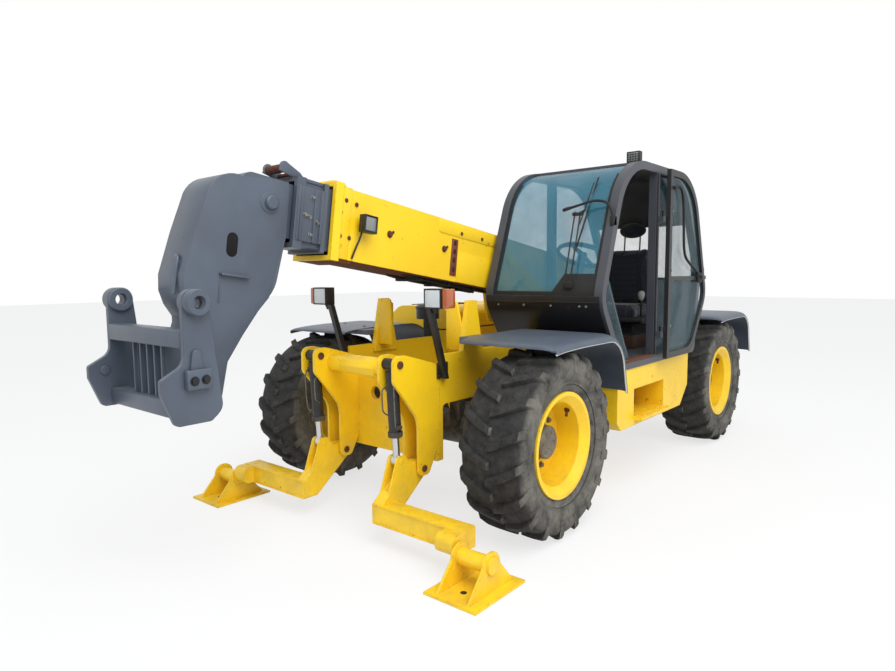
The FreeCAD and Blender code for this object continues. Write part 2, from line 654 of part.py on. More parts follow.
def build_boom_lamp():
    """Work lamp on a bracket on the boom's left side."""
    piece = boom_piece("boom_work_lamp")
    face = size.outer_half_width
    back = face + size.boom_lamp_stand
    half = size.work_lamp / 2
    along, drop = size.boom_lamp_along, size.boom_lamp_drop
    piece.add("XZ", back - size.work_lamp_depth / 2, back + size.work_lamp_depth / 2,
              box_loop(along - half, drop - half, along + half, drop + half))
    piece.add("XZ", face, back, box_loop(along - half / 4, drop - half / 4, along + half / 4, drop + half / 4))
    return piece.body


def carriage_plate_outline():
    ahead, eye = size.carriage_eye_ahead, size.carriage_eye_radius
    top = size.carriage_eye_height + eye
    return [
        (ahead - eye, top, eye * 0.9),
        (ahead - eye * 2, size.carriage_low_tube, eye),
        (ahead - eye, size.carriage_bottom, eye / 2),
        (size.carriage_nose - eye, size.carriage_bottom, eye / 2),
        (size.carriage_nose, size.carriage_nose_height - eye, eye / 4),
        (size.carriage_nose, size.carriage_nose_height, eye / 4),
        (ahead + eye, size.carriage_nose_height + eye, eye),
        (ahead + eye, top, eye * 0.9),
    ]


def build_carriage():
    """Tool carriage: two side plates with eyes, tubes and bars between them, ears on the neck's pin."""
    ahead, height = machine_place(size.carriage_pin_along, -size.carriage_pin_drop)
    piece = Piece("carriage", x=size.front_axle_x + ahead, z=height)
    inside = size.carriage_half_width - size.carriage_plate
    tube = size.carriage_tube
    eye = Round(size.carriage_eye_ahead, size.carriage_eye_height, size.carriage_eye_hole)
    for side in (1, -1):
        piece.add("XZ", side * inside, side * size.carriage_half_width, carriage_plate_outline(), eye)
    for height in (size.carriage_top_tube, size.carriage_low_tube):
        piece.add("XZ", -inside, inside, Round(size.carriage_tube_ahead, height, tube))
    for step in range(-2, 3):
        middle = step * size.carriage_bar_step
        piece.add("XZ", middle - size.carriage_bar / 2, middle + size.carriage_bar / 2,
                  box_loop(size.carriage_tube_ahead - tube / 2, size.carriage_low_tube,
                           size.carriage_tube_ahead + tube / 2, size.carriage_top_tube))
    ear_start = size.neck_half_width + size.carriage_ear_gap
    ear = size.carriage_ear_radius
    for side in (1, -1):
        piece.add("XZ", side * ear_start, side * (ear_start + size.carriage_ear), [
            (-ear, ear, ear * 0.9),
            (-ear, -ear, ear * 0.9),
            (size.carriage_tube_ahead, size.carriage_low_tube - tube),
            (size.carriage_tube_ahead, size.carriage_top_tube + tube, tube),
        ])
    reach = ear_start + size.carriage_ear
    piece.add("XZ", -reach, reach,
              Round(NOUGHT, NOUGHT, size.carriage_pin_radius))
    return piece.body


# ---------------------------------------------------------------- cylinders

def build_barrel(name, place, slope, length, radius, neck, bore, eye, pin):
    """Cylinder barrel along its own x from the base pin, open at the rod's end.  eye is (radius, half width)."""
    piece = Piece(name, x=place[0], y=place[1], z=place[2], turn_axis=(0, 1, 0), turn=-slope)
    piece.add("XZ", -eye[1], eye[1], Round(NOUGHT, NOUGHT, eye[0]))
    start = eye[0] + size.barrel_gap
    piece.add("YZ", pin, start, Round(NOUGHT, NOUGHT, neck))
    piece.add("YZ", start, length, Round(NOUGHT, NOUGHT, radius))
    piece.cut("YZ", start + size.barrel_gap, length, Round(NOUGHT, NOUGHT, bore + size.rod_fit))
    piece.cut("XZ", -eye[1], eye[1], Round(NOUGHT, NOUGHT, pin + size.pin_fit))
    return piece.body


def build_rod(name, place, slope, start, length, radius, eye):
    """Piston rod in the barrel's line, with the eye at its far end."""
    piece = Piece(name, x=place[0], y=place[1], z=place[2], turn_axis=(0, 1, 0), turn=-slope)
    piece.add("YZ", start, length - eye[0] * 0.8, Round(NOUGHT, NOUGHT, radius))
    piece.add("XZ", -eye[1], eye[1], Round(length, NOUGHT, eye[0]))
    return piece.body


def slope_between(run, rise):
    return math.degrees(math.atan2(rise, run)), math.hypot(run, rise)


def lift_line():
    """Slope and length of the lift cylinder between its base pin and the boom's ears."""
    tilt = math.radians(SIZES["boom_tilt"])
    along, drop = SIZES["lift_boom_pin"], SIZES["lift_boom_drop"]
    ahead = along * math.cos(tilt) + drop * math.sin(tilt) - SIZES["boom_pivot_back"]
    height = along * math.sin(tilt) - drop * math.cos(tilt) + SIZES["boom_pivot_height"]
    return slope_between(ahead + SIZES["lift_pin_back"], height - SIZES["lift_pin_height"])


def build_lift_cylinder():
    slope, length = lift_line()
    place = (size.front_axle_x - size.lift_pin_back, NOUGHT, size.lift_pin_height)
    eye = (size.lift_eye_radius, size.lift_eye_half)
    rod_eye = (size.lift_eye_radius * 0.8, size.lift_eye_half)
    return [
        build_barrel("lift_cylinder_barrel", place, slope, size.lift_barrel_length, size.lift_barrel_radius,
                     size.lift_neck_radius, size.lift_rod_radius, eye, size.lift_pin_radius),
        build_rod("lift_cylinder_rod", place, slope, size.lift_rod_start, NOUGHT + length,
                  size.lift_rod_radius, rod_eye),
    ]


# ---------------------------------------------------------------- stabilisers

def leg_arm_outline():
    boss = size.leg_boss
    low = size.foot_pin_height - size.leg_depth * 0.1
    return [
        (size.leg_pin_ahead - boss, size.leg_pin_height + boss, boss * 0.9),
        (size.leg_pin_ahead - boss, size.leg_pin_height - boss, boss * 0.9),
        (size.leg_knee_ahead, low, boss),
        (size.leg_front, low),
        (size.leg_front, low + size.leg_depth, boss / 2),
        (size.leg_pin_ahead + boss * 2, size.leg_pin_height + boss, boss),
    ]


def build_leg(where, side):
    """Stabiliser leg: an arm forward from its pin, then a box beam outward to the foot's tube."""
    piece = machine_piece(f"{where}_stabiliser_leg")
    low = size.foot_pin_height - size.leg_depth * 0.1
    inner = side * (size.leg_offset - size.leg_half)
    outer = side * (size.leg_offset + size.leg_half)
    beam_end = side * (size.foot_offset - size.foot_tube_half - size.foot_knuckle_gap)
    eye, lug = size.stay_eye_radius, size.stay_eye_half + size.eye_side_gap
    piece.add("XZ", inner, outer, leg_arm_outline())
    piece.add("XZ", inner, beam_end,
              box_loop(size.leg_knee_ahead, low, size.leg_front, low + size.leg_depth))
    piece.add("XZ", beam_end - side * size.foot_knuckle, beam_end, [
        (size.leg_knee_ahead, low),
        (size.foot_pin_ahead + size.foot_pin_radius, low, size.foot_pin_radius),
        (size.foot_pin_ahead + size.foot_pin_radius, low + size.leg_depth, size.foot_pin_radius),
        (size.leg_knee_ahead, low + size.leg_depth),
    ])
    piece.add("XZ", beam_end, side * (size.foot_offset + size.foot_tube_half + size.foot_ear + size.pin_head),
              Round(size.foot_pin_ahead, size.foot_pin_height, size.foot_pin_radius))
    piece.cut("XZ", side * size.leg_offset - lug, side * size.leg_offset + lug,
              Round(size.stay_lug_ahead, size.stay_lug_height, eye * 2.2))
    for edge in (1, -1):
        face = side * size.leg_offset + edge * lug
        piece.add("XZ", face, side * size.leg_offset + edge * size.leg_half, [
            (size.leg_pin_ahead + size.leg_boss, size.leg_pin_height - size.leg_boss / 2),
            (size.leg_knee_ahead, low + size.leg_depth / 2),
            (size.leg_front - size.leg_boss, low + size.leg_depth),
            (size.stay_lug_ahead + eye, size.stay_lug_height + eye, eye * 0.9),
            (size.stay_lug_ahead - eye, size.stay_lug_height + eye, eye * 0.9),
        ])
    piece.cut("XZ", inner - side * size.leg_half, outer + side * size.leg_half,
              Round(size.leg_pin_ahead, size.leg_pin_height, size.leg_pin_radius + size.pin_fit))
    return piece.body


def build_foot(where, side):
    """Foot plate with two curved ears on a pin through the leg's tube."""
    piece = Piece(f"{where}_stabiliser_foot", x=size.front_axle_x + size.foot_pin_ahead,
                  y=side * size.foot_offset, z=size.foot_pin_height)
    bottom = -size.foot_pin_height
    length, pin = size.foot_half_length, size.foot_pin_radius
    piece.add("XY", bottom, bottom + size.foot_plate,
              box_loop(-length, -size.foot_half_width, length, size.foot_half_width))
    boss = size.foot_boss
    for edge in (1, -1):
        inner = edge * size.foot_tube_half
        piece.add("XZ", inner, inner + edge * size.foot_ear, [
            (-length * 0.9, bottom + size.foot_plate / 2),
            (length * 0.9, bottom + size.foot_plate / 2),
            (boss, NOUGHT, pin),
            (boss, boss, boss * 0.9),
            (-boss, boss, boss * 0.9),
            (-boss, NOUGHT, pin),
        ])
        piece.cut("XZ", inner, inner + edge * size.foot_ear, Round(NOUGHT, NOUGHT, pin + size.pin_fit))
    return piece.body


def stay_line():
    return slope_between(SIZES["stay_lug_ahead"] - SIZES["stay_pin_ahead"],
                         SIZES["stay_lug_height"] - SIZES["stay_pin_height"])


def build_stay(where, side):
    slope, length = stay_line()
    place = (size.front_axle_x + size.stay_pin_ahead, side * size.leg_offset, size.stay_pin_height)
    eye = (size.stay_eye_radius, size.leg_half + size.mast_gap - size.eye_side_gap)
    rod_eye = (size.stay_eye_radius, size.stay_eye_half)
    return [
        build_barrel(f"{where}_stabiliser_barrel", place, slope, size.stay_barrel_length,
                     size.stay_barrel_radius, size.stay_neck_radius, size.stay_rod_radius, eye,
                     size.stay_pin_radius),
        build_rod(f"{where}_stabiliser_rod", place, slope, size.stay_rod_start, NOUGHT + length,
                  size.stay_rod_radius, rod_eye),
    ]


# ---------------------------------------------------------------- cab

def cab_outline(inset):
    """The cab's side outline, drawn in from its skin by a distance."""
    return [
        (-size.cab_foot_back - inset * 0.6, size.cab_sill + inset, size.foot_bend),
        (-size.cab_front - inset, size.cab_knee, size.knee_bend - inset),
        (-size.cab_roof_front - inset * 0.7, size.cab_roof - inset, size.front_bend - inset),
        (-size.cab_roof_rear + inset * 0.6, size.cab_roof - inset, size.rear_bend - inset),
        (-size.cab_rear + inset, size.cab_rear_knee, size.rear_knee_bend - inset),
        (-size.cab_rear_foot + inset, size.cab_sill + inset, size.rear_foot_bend),
    ]


def front_opening(inset):
    """Side opening ahead of the door post."""
    frame = size.side_frame + inset
    edge = -size.door_post_back + size.door_post_width / 2 + inset
    return [
        (edge, size.cab_sill + frame),
        (-size.cab_foot_back - frame * 0.6, size.cab_sill + frame, size.foot_bend),
        (-size.cab_front - frame, size.cab_knee, size.knee_bend - frame),
        (-size.cab_roof_front - frame * 0.7, size.cab_roof - frame, size.front_bend - frame),
        (edge, size.cab_roof - frame),
    ]


def rear_opening(inset):
    """Side opening behind the door post."""
    frame = size.side_frame + inset
    edge = -size.door_post_back - size.door_post_width / 2 - inset
    return [
        (edge, size.cab_roof - frame),
        (-size.cab_roof_rear + frame * 0.6, size.cab_roof - frame, size.rear_bend - frame),
        (-size.cab_rear + frame, size.cab_rear_knee, size.rear_knee_bend - frame),
        (-size.cab_rear_foot + frame, size.cab_sill + frame, size.rear_foot_bend),
        (edge, size.cab_sill + frame),
    ]


def hinge_heights():
    return (size.hinge_low, size.hinge_high)


def build_cab():
    """Hollow cab shell with its window and door openings and the door's hinge brackets."""
    piece = machine_piece("cab_frame")
    frame = size.side_frame
    left, right = size.cab_outer - frame, size.cab_inner + frame
    piece.add("XZ", size.cab_inner, size.cab_outer, cab_outline(NOUGHT))
    piece.cut("XZ", right, left, cab_outline(size.cab_wall))
    for near in (size.cab_inner, left):
        piece.cut("XZ", near, near + frame, front_opening(NOUGHT), rear_opening(NOUGHT))
    piece.cut("YZ", -size.screen_top_back, -size.cab_front + frame,
              box_loop(right, size.screen_bottom, left, size.cab_roof + frame))
    piece.cut("YZ", -size.cab_rear - frame, -size.cab_rear + frame * 4,
              box_loop(right, size.rear_glass_bottom, left, size.rear_glass_top))
    piece.add("XZ", left, left + size.quarter_bar, [
        (-size.quarter_foot - size.quarter_bar, size.cab_sill + frame / 2),
        (-size.quarter_foot, size.cab_sill + frame / 2),
        (-size.quarter_top_back, size.quarter_top),
        (-size.quarter_top_back - size.quarter_bar, size.quarter_top),
    ])
    for height in hinge_heights():
        eye = size.hinge_eye_radius
        piece.add("XY", height, height + size.hinge_tall,
                  box_loop(-size.door_post_back - eye, left, -size.door_post_back + eye, size.door_hinge_y))
        piece.add("XY", height, height + size.hinge_tall, Round(-size.door_post_back, size.door_hinge_y, eye))
        piece.add("XY", height, height + size.hinge_tall * 2,
                  Round(-size.door_post_back, size.door_hinge_y, size.hinge_pin_radius))
    return piece.body


def build_windscreen():
    """Curved screen from the scuttle up into the roof."""
    piece = machine_piece("windscreen")
    frame, gap = size.side_frame, size.glass_gap
    inset = size.cab_wall * 0.4
    piece.add("XZ", size.cab_inner + frame, size.cab_outer - frame,
              cab_outline(inset), cab_outline(inset + size.glass_thick))
    piece.cut("YZ", -size.cab_rear - frame, -size.screen_top_back,
              box_loop(size.cab_inner, size.cab_sill - frame, size.cab_outer, size.cab_roof + frame))
    piece.cut("YZ", -size.screen_top_back - gap, -size.cab_front + frame,
              box_loop(size.cab_inner, size.cab_sill - frame, size.cab_outer, size.screen_bottom))
    return piece.body


def build_cab_windows():
    """Flat panes: two in the boom side, one behind the door post, the front quarter, and the rear screen."""
    piece = machine_piece("cab_windows")
    inner = size.cab_inner + size.side_frame / 2
    outer = size.cab_outer - size.side_frame / 2
    thick = size.glass_thick
    frame = size.side_frame
    inset = size.cab_wall * 0.4
    piece.add("XZ", size.cab_inner + frame, size.cab_outer - frame, cab_outline(inset), cab_outline(inset + thick))
    piece.cut("YZ", -size.cab_rear + frame * 4, -size.cab_front,
              box_loop(size.cab_inner, size.cab_sill - frame, size.cab_outer, size.cab_roof + frame))
    piece.cut("YZ", -size.cab_rear - frame, -size.cab_front,
              box_loop(size.cab_inner, size.rear_glass_top, size.cab_outer, size.cab_roof + frame),
              box_loop(size.cab_inner, size.cab_sill - frame, size.cab_outer, size.rear_glass_bottom))
    piece.add("XZ", outer - thick, outer, front_opening(NOUGHT))
    piece.cut("XZ", outer - thick, outer, [
        (-size.quarter_foot, size.cab_sill),
        (-size.quarter_top_back, size.quarter_top),
        (-size.cab_front, size.quarter_top),
        (-size.cab_front, size.cab_roof),
        (-size.cab_roof_rear, size.cab_roof),
        (-size.cab_roof_rear, size.cab_sill),
    ])
    piece.add("XZ", inner, inner + thick, front_opening(NOUGHT))
    piece.add("XZ", inner, inner + thick, rear_opening(NOUGHT))
    piece.add("XZ", outer - thick, outer, rear_opening(NOUGHT))
    return piece.body


def door_outline(inset):
    """Door outline in its own frame, swung back along the cab's side: the front opening, mirrored."""
    post = size.door_post_back
    frame = size.side_frame / 2 + inset
    edge = -size.door_post_width / 2 - inset
    return [
        (edge, size.cab_roof - frame),
        (size.cab_roof_front + frame * 0.7 - post, size.cab_roof - frame, size.front_bend - frame),
        (size.cab_front + frame - post, size.cab_knee, size.knee_bend - frame),
        (size.cab_foot_back + frame * 0.6 - post, size.cab_sill + frame, size.foot_bend),
        (edge, size.cab_sill + frame),
    ]


def door_piece(name):
    return Piece(name, x=size.front_axle_x - size.door_post_back, y=size.door_hinge_y)


def door_faces():
    """Inner and outer face of the open door, from the hinge's axis."""
    near = size.door_hinge_y - size.cab_outer - size.door_gap - size.door_thick
    return near, near + size.door_thick


def build_door():
    piece = door_piece("cab_door")
    near, far = door_faces()
    rail = size.door_rail / 2
    piece.add("XZ", near, far, door_outline(NOUGHT))
    piece.cut("XZ", near, far, door_outline(size.door_frame))
    piece.add("XZ", near, far, box_loop(size.cab_front + size.door_frame - size.door_post_back,
                                        size.door_rail_height - rail,
                                        -size.door_post_width / 2, size.door_rail_height + rail))
    eye = size.hinge_eye_radius
    for height in hinge_heights():
        base = height + size.hinge_tall + size.seat_gap
        top = base + size.hinge_tall
        piece.add("XY", base, top, Round(NOUGHT, NOUGHT, eye))
        piece.add("XY", base, top, box_loop(-size.door_post_width, near, NOUGHT, eye))
        piece.cut("XY", base, top, Round(NOUGHT, NOUGHT, size.hinge_pin_radius + size.pin_fit))
    return piece.body


def build_door_glass():
    piece = door_piece("cab_door_glass")
    near, far = door_faces()
    middle = (near + far) / 2
    thick = size.glass_thick
    rail = size.door_rail / 2
    piece.add("XZ", middle - thick / 2, middle + thick / 2, door_outline(size.door_frame))
    piece.cut("XZ", middle - thick / 2, middle + thick / 2,
              box_loop(size.cab_front - size.door_post_back, size.door_rail_height - rail,
                       NOUGHT, size.door_rail_height + rail))
    return piece.body


def build_seat():
    """Driver's seat: base, cushion, raked back, and headrest on two posts."""
    piece = machine_piece("seat")
    side, half = size.seat_side, size.seat_half
    rear, pan = size.seat_ahead, size.seat_pan_height
    back_top = pan + size.seat_back_height
    thick, rake = size.seat_back_thick, size.seat_rake
    floor = size.cab_sill + size.cab_wall
    piece.add("XY", floor, pan - size.seat_cushion,
              box_loop(rear, side - half * 0.7, rear + size.seat_depth * 0.8, side + half * 0.7))
    piece.add("XZ", side - half, side + half, [
        (rear, pan - size.seat_cushion),
        (rear + size.seat_depth, pan - size.seat_cushion, size.seat_cushion * 0.4),
        (rear + size.seat_depth, pan, size.seat_cushion * 0.4),
        (rear + thick, pan),
        (rear + thick - rake, back_top, thick * 0.4),
        (rear - rake, back_top, thick * 0.4),
    ])
    head_low = back_top + size.head_gap
    for edge in (1, -1):
        piece.add("XY", back_top - size.head_gap, head_low + size.head_gap,
                  Round(rear - rake + thick / 2, side + edge * size.head_post_half, size.head_post_radius))
    piece.add("XZ", side - size.head_half, side + size.head_half, [
        (rear - rake + thick * 0.1, head_low, thick * 0.3),
        (rear - rake + thick * 0.9, head_low, thick * 0.3),
        (rear - rake + thick * 0.9, head_low + size.head_tall, thick * 0.3),
        (rear - rake + thick * 0.1, head_low + size.head_tall, thick * 0.3),
    ])
    return piece.body


def build_console():
    """Steering console standing on the cab floor, with the wheel on its raked column."""
    piece = machine_piece("steering_console")
    half = size.console_width / 2
    side, front = size.seat_side, size.column_ahead
    floor = size.cab_sill + size.cab_wall
    piece.add("XZ", side - half, side + half, [
        (front - size.console_depth, floor),
        (front, floor),
        (front, floor + size.column_length, size.console_depth / 2),
        (front - size.console_depth, floor + size.column_length),
    ])
    return piece.body


def build_steering_wheel():
    """Wheel and its raked column, which stands clear of the console's top by the seat gap."""
    height = size.cab_sill + size.cab_wall + size.column_length
    cosine, sine = cosine_and_sine("column_tilt")
    foot = (size.column_radius * sine + size.seat_gap) / cosine
    piece = Piece("steering_wheel", x=size.front_axle_x + size.column_ahead - size.console_depth / 2,
                  y=size.seat_side, z=height, turn_axis=(0, 1, 0), turn=-size.column_tilt)
    rise = size.wheel_radius
    grip = size.wheel_grip
    piece.turn("XZ", "V_Axis", [
        (size.wheel_radius - grip, rise),
        (size.wheel_radius - grip / 2, rise - grip),
        (size.wheel_radius + grip / 2, rise - grip),
        (size.wheel_radius + grip, rise),
        (size.wheel_radius + grip / 2, rise + grip),
        (size.wheel_radius - grip / 2, rise + grip),
    ])
    piece.add("XY", foot, rise + grip, Round(NOUGHT, NOUGHT, size.column_radius))
    piece.add("XY", rise - size.wheel_grip / 2, rise + size.wheel_grip / 2,
              box_loop(-size.wheel_radius, -size.wheel_grip, size.wheel_radius, size.wheel_grip))
    return piece.body


# ---------------------------------------------------------------- side boxes and fenders

def build_step_box():
    """Step box under the cab door, with a recessed step and a tread."""
    piece = machine_piece("step_box")
    toe, chamfer = size.step_toe, size.step_chamfer
    piece.add("XZ", size.chassis_half, size.step_outer, [
        (-size.step_front, size.cab_sill),
        (-size.step_front, size.step_bottom + toe),
        (-size.step_front - toe, size.step_bottom),
        (-size.step_rear + chamfer, size.step_bottom),
        (-size.step_rear, size.step_bottom + chamfer),
        (-size.step_rear, size.cab_sill),
    ])
    piece.cut("XZ", size.step_outer - size.recess_depth, size.step_outer,
              box_loop(-size.recess_rear, size.step_bottom + toe, -size.recess_front, size.recess_top))
    piece.add("XZ", size.step_outer - size.recess_depth, size.step_outer + size.tread_reach,
              box_loop(-size.recess_rear, size.step_bottom + toe - size.tread_thick,
                       -size.recess_front, size.step_bottom + toe))
    return piece.body


def hood_outline(inset):
    """Hood section across the machine, from its rim up, seen from the front."""
    rim = size.engine_top - size.hood_depth + size.hood_gap
    return [
        (-size.engine_outer + inset, rim),
        (-size.chassis_half - inset, rim),
        (-size.chassis_half - inset, size.engine_top - inset, size.hood_slope / 2 - inset),
        (-size.engine_outer + size.hood_slope + inset * 0.5, size.engine_top - inset, size.hood_slope - inset),
        (-size.engine_outer + inset, rim + size.hood_gap * 4),
    ]


def build_engine_side():
    """Engine pod on the right: open-topped housing, hinged hood over it, engine block inside."""
    low, wall = size.engine_bottom, size.engine_wall
    rim = size.engine_top - size.hood_depth
    front, rear = -size.engine_front, -size.engine_rear
    box = machine_piece("engine_housing")
    box.add("XY", low, rim, box_loop(rear, -size.engine_outer, front, -size.chassis_half))
    box.cut("XY", low + wall, rim, box_loop(rear + wall, -size.engine_outer + wall,
                                            front - wall, -size.chassis_half - wall))
    hood = machine_piece("engine_hood")
    hood.add("YZ", rear, front, hood_outline(NOUGHT))
    hood.cut("YZ", rear + wall, front - wall, hood_outline(wall))
    eye, pin = size.hood_eye_radius, size.hood_pin_radius
    pin_side, pin_height = -size.chassis_half - eye, rim + size.hood_gap / 2
    for end, facing in ((rear + size.hood_hinge_inset, 1), (front - size.hood_hinge_inset, -1)):
        length = facing * size.hood_hinge_length
        box.cut("YZ", end, end + length + facing * size.hood_gap,
                box_loop(-size.chassis_half - wall, rim - eye * 2, -size.chassis_half, rim))
        box.add("YZ", end, end + length, box_loop(pin_side - eye, rim - eye * 3, -size.chassis_half, rim - eye * 2))
        box.add("YZ", end, end + length / 2, box_loop(pin_side - eye / 2, rim - eye * 2.5, pin_side + eye / 2, rim))
        box.add("YZ", end, end + length, Round(pin_side, rim - eye, pin))
        hood.add("YZ", end + length / 2 + facing * size.seat_gap, end + length,
                 Round(pin_side, rim - eye, eye))
        hood.add("YZ", end + length / 2 + facing * size.seat_gap, end + length,
                 box_loop(pin_side - eye / 2, rim - eye, pin_side + eye / 2, rim + size.hood_gap + wall))
        hood.cut("YZ", end + length / 2, end + length, Round(pin_side, rim - eye, pin + size.pin_fit))
    block = machine_piece("engine_block")
    middle = (front + rear) / 2
    across = -(size.engine_outer + size.chassis_half) / 2
    block.add("XY", low + wall, low + wall + size.block_height,
              box_loop(middle - size.block_length / 2, across - size.block_width / 2,
                       middle + size.block_length / 2, across + size.block_width / 2))
    return [box.body, hood.body, block.body]


def build_stacks():
    """Air intake with its round cap, and the exhaust behind the cab."""
    piece = machine_piece("intake_and_exhaust")
    foot = size.chassis_top - size.corner_bend
    piece.add("XY", foot, foot + size.intake_tall,
              Round(size.intake_ahead, size.intake_side, size.intake_radius))
    piece.add("XY", foot + size.intake_tall, foot + size.intake_tall + size.intake_cap_radius,
              Round(size.intake_ahead, size.intake_side, size.intake_cap_radius))
    piece.add("XZ", -size.chassis_half, size.intake_side,
              box_loop(size.intake_ahead - size.intake_radius, foot - size.intake_radius,
                       size.intake_ahead + size.intake_radius, foot))
    piece.add("XY", foot, foot + size.exhaust_tall,
              Round(-size.exhaust_back, size.exhaust_side, size.exhaust_radius))
    piece.add("XZ", size.chassis_half, size.exhaust_side,
              box_loop(-size.exhaust_back - size.exhaust_radius, foot - size.intake_radius,
                       -size.exhaust_back + size.exhaust_radius, foot))
    return piece.body


def fender_outline(middle):
    """Arch over a steered wheel: level on top, falling at the rear."""
    top = size.axle_height + size.fender_radius
    thick = size.fender_thick
    rear = middle - size.fender_shift - size.fender_radius * 0.88
    low = size.axle_height + size.fender_radius * size.fender_end
    knee = middle - size.fender_shift - size.fender_radius * 0.72
    front = middle + size.fender_front
    return [
        (rear, low),
        (knee, top, size.fender_radius * 0.4),
        (front, top, size.fender_lip),
        (front + size.fender_lip, top - size.fender_lip),
        (front + size.fender_lip + thick, top - size.fender_lip),
        (front + thick * 0.5, top + thick, size.fender_lip),
        (knee - thick, top + thick, size.fender_radius * 0.4 + thick),
        (rear - thick, low),
    ]


def build_fenders():
    """Pair of fenders an axle, each on a bracket from the chassis side."""
    made = []
    for name, rear in (("front_fenders", False), ("rear_fenders", True)):
        piece = machine_piece(name)
        top = size.axle_height + size.fender_radius
        middle = axle_x(rear)
        for side in (1, -1):
            piece.add("XZ", side * size.fender_inner, side * size.fender_outer, fender_outline(middle))
            piece.add("XZ", side * size.chassis_half, side * (size.fender_inner + size.fender_lip),
                      box_loop(middle - size.fender_bracket, top - size.fender_lip,
                               middle + size.fender_bracket, top))
        made.append(piece.body)
    return made


# ---------------------------------------------------------------- lamps

def build_lamp_posts():
    """Slanted posts bolted to the chassis sides, one for each headlamp."""
    made = []
    run = size.post_head_ahead - size.post_foot_ahead
    piece = machine_piece("lamp_posts")
    for side in (1, -1):
        plate = size.post_plate_half
        piece.add("XZ", side * size.chassis_half, side * (size.chassis_half + size.post_plate),
                  box_loop(size.post_foot_ahead - plate, size.post_foot_height - plate,
                           size.post_foot_ahead + plate, size.post_foot_height + plate))
        near = side * (size.chassis_half + size.post_plate)
        piece.add("XZ", near, near + side * size.post_radius * 2, [
            (size.post_foot_ahead - size.post_radius, size.post_foot_height - plate),
            (size.post_foot_ahead + size.post_radius, size.post_foot_height - plate),
            (size.post_foot_ahead + run + size.post_radius, size.post_head_height),
            (size.post_foot_ahead + run - size.post_radius, size.post_head_height),
        ])
    made.append(piece.body)
    return made


def build_headlamps():
    piece = machine_piece("headlamps")
    for side in (1, -1):
        rear = size.post_head_ahead - size.post_radius * 2
        middle = side * size.post_head_side
        half = size.lamp_width / 2
        piece.add("YZ", rear, rear + size.lamp_depth,
                  box_loop(middle - half, size.post_head_height, middle + half,
                           size.post_head_height + size.lamp_tall))
        piece.add("YZ", rear, rear + size.lamp_depth * 0.8,
                  box_loop(middle + side * half, size.post_head_height,
                           middle + side * (half + size.indicator_width), size.post_head_height + size.lamp_tall))
    return piece.body


def build_cab_lamp():
    """Work lamp on the cab roof's front left corner."""
    piece = machine_piece("cab_work_lamp")
    half = size.work_lamp / 2
    rear = -size.screen_top_back - size.work_lamp
    side = size.cab_outer - size.work_lamp
    piece.add("YZ", rear, rear + size.work_lamp_depth,
              box_loop(side - half, size.cab_roof, side + half, size.cab_roof + size.work_lamp))
    return piece.body


def build_all():
    made = [build_chassis(), build_front_frame(), build_axle("front_axle", False), build_axle("rear_axle", True)]
    for where, rear, side in wheel_places():
        made += [build_knuckle(where, rear, side), build_tyre(where, rear, side), build_rim(where, rear, side)]
    made += [build_boom_outer(), build_boom_middle(), build_boom_inner(), build_boom_lamp(), build_carriage()]
    made += build_lift_cylinder()
    for where, side in (("left", 1), ("right", -1)):
        made += [build_leg(where, side), build_foot(where, side)]
        made += build_stay(where, side)
    made += [build_cab(), build_windscreen(), build_cab_windows(), build_door(), build_door_glass()]
    made += [build_seat(), build_console(), build_steering_wheel(), build_step_box(), build_stacks()]
    made += build_engine_side() + build_fenders() + build_lamp_posts()
    made += [build_headlamps(), build_cab_lamp()]
    return made


def check_document(nodes):
    for item in document.Objects:
        if "Invalid" in item.State or "Error" in item.State:
            raise RuntimeError(f"{item.Name} failed: {item.State}")
        if item.TypeId == "PartDesign::Pocket":
            if item.Shape.Volume > item.BaseFeature.Shape.Volume - 1:
                raise RuntimeError(f"{item.Name} cuts nothing")
    for node in nodes:
        if node.Shape.isNull() or not node.Shape.isValid():
            raise RuntimeError(f"{node.Label} has no valid shape")


fill_sheet()
nodes = build_all()
document.recompute()
check_document(nodes)
os.makedirs("parts", exist_ok=True)
for node in nodes:
    node.Shape.exportStep(f"parts/{node.Label}.step")
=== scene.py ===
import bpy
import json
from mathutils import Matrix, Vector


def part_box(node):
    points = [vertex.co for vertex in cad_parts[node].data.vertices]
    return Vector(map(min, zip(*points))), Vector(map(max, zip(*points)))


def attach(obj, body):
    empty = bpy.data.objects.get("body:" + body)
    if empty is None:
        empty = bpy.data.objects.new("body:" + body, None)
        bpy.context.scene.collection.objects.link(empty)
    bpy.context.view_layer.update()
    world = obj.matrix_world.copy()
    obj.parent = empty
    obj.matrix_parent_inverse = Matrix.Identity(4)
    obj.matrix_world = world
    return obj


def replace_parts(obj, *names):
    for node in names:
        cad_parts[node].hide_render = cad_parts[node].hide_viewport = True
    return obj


bl_info = {
    "name": "Telescopic Handler Finisher",
    "version": (1, 0, 0),
    "blender": (4, 5, 0),
    "location": "View3D > Sidebar > Handler",
    "description": "Finishes a telescopic handler: paints, tyres, lamps, cab fittings and bolts",
    "category": "Object",
}

import json
import math

import bmesh
import bpy
from bpy.props import FloatProperty, FloatVectorProperty, IntProperty, PointerProperty
from mathutils import Quaternion, Vector

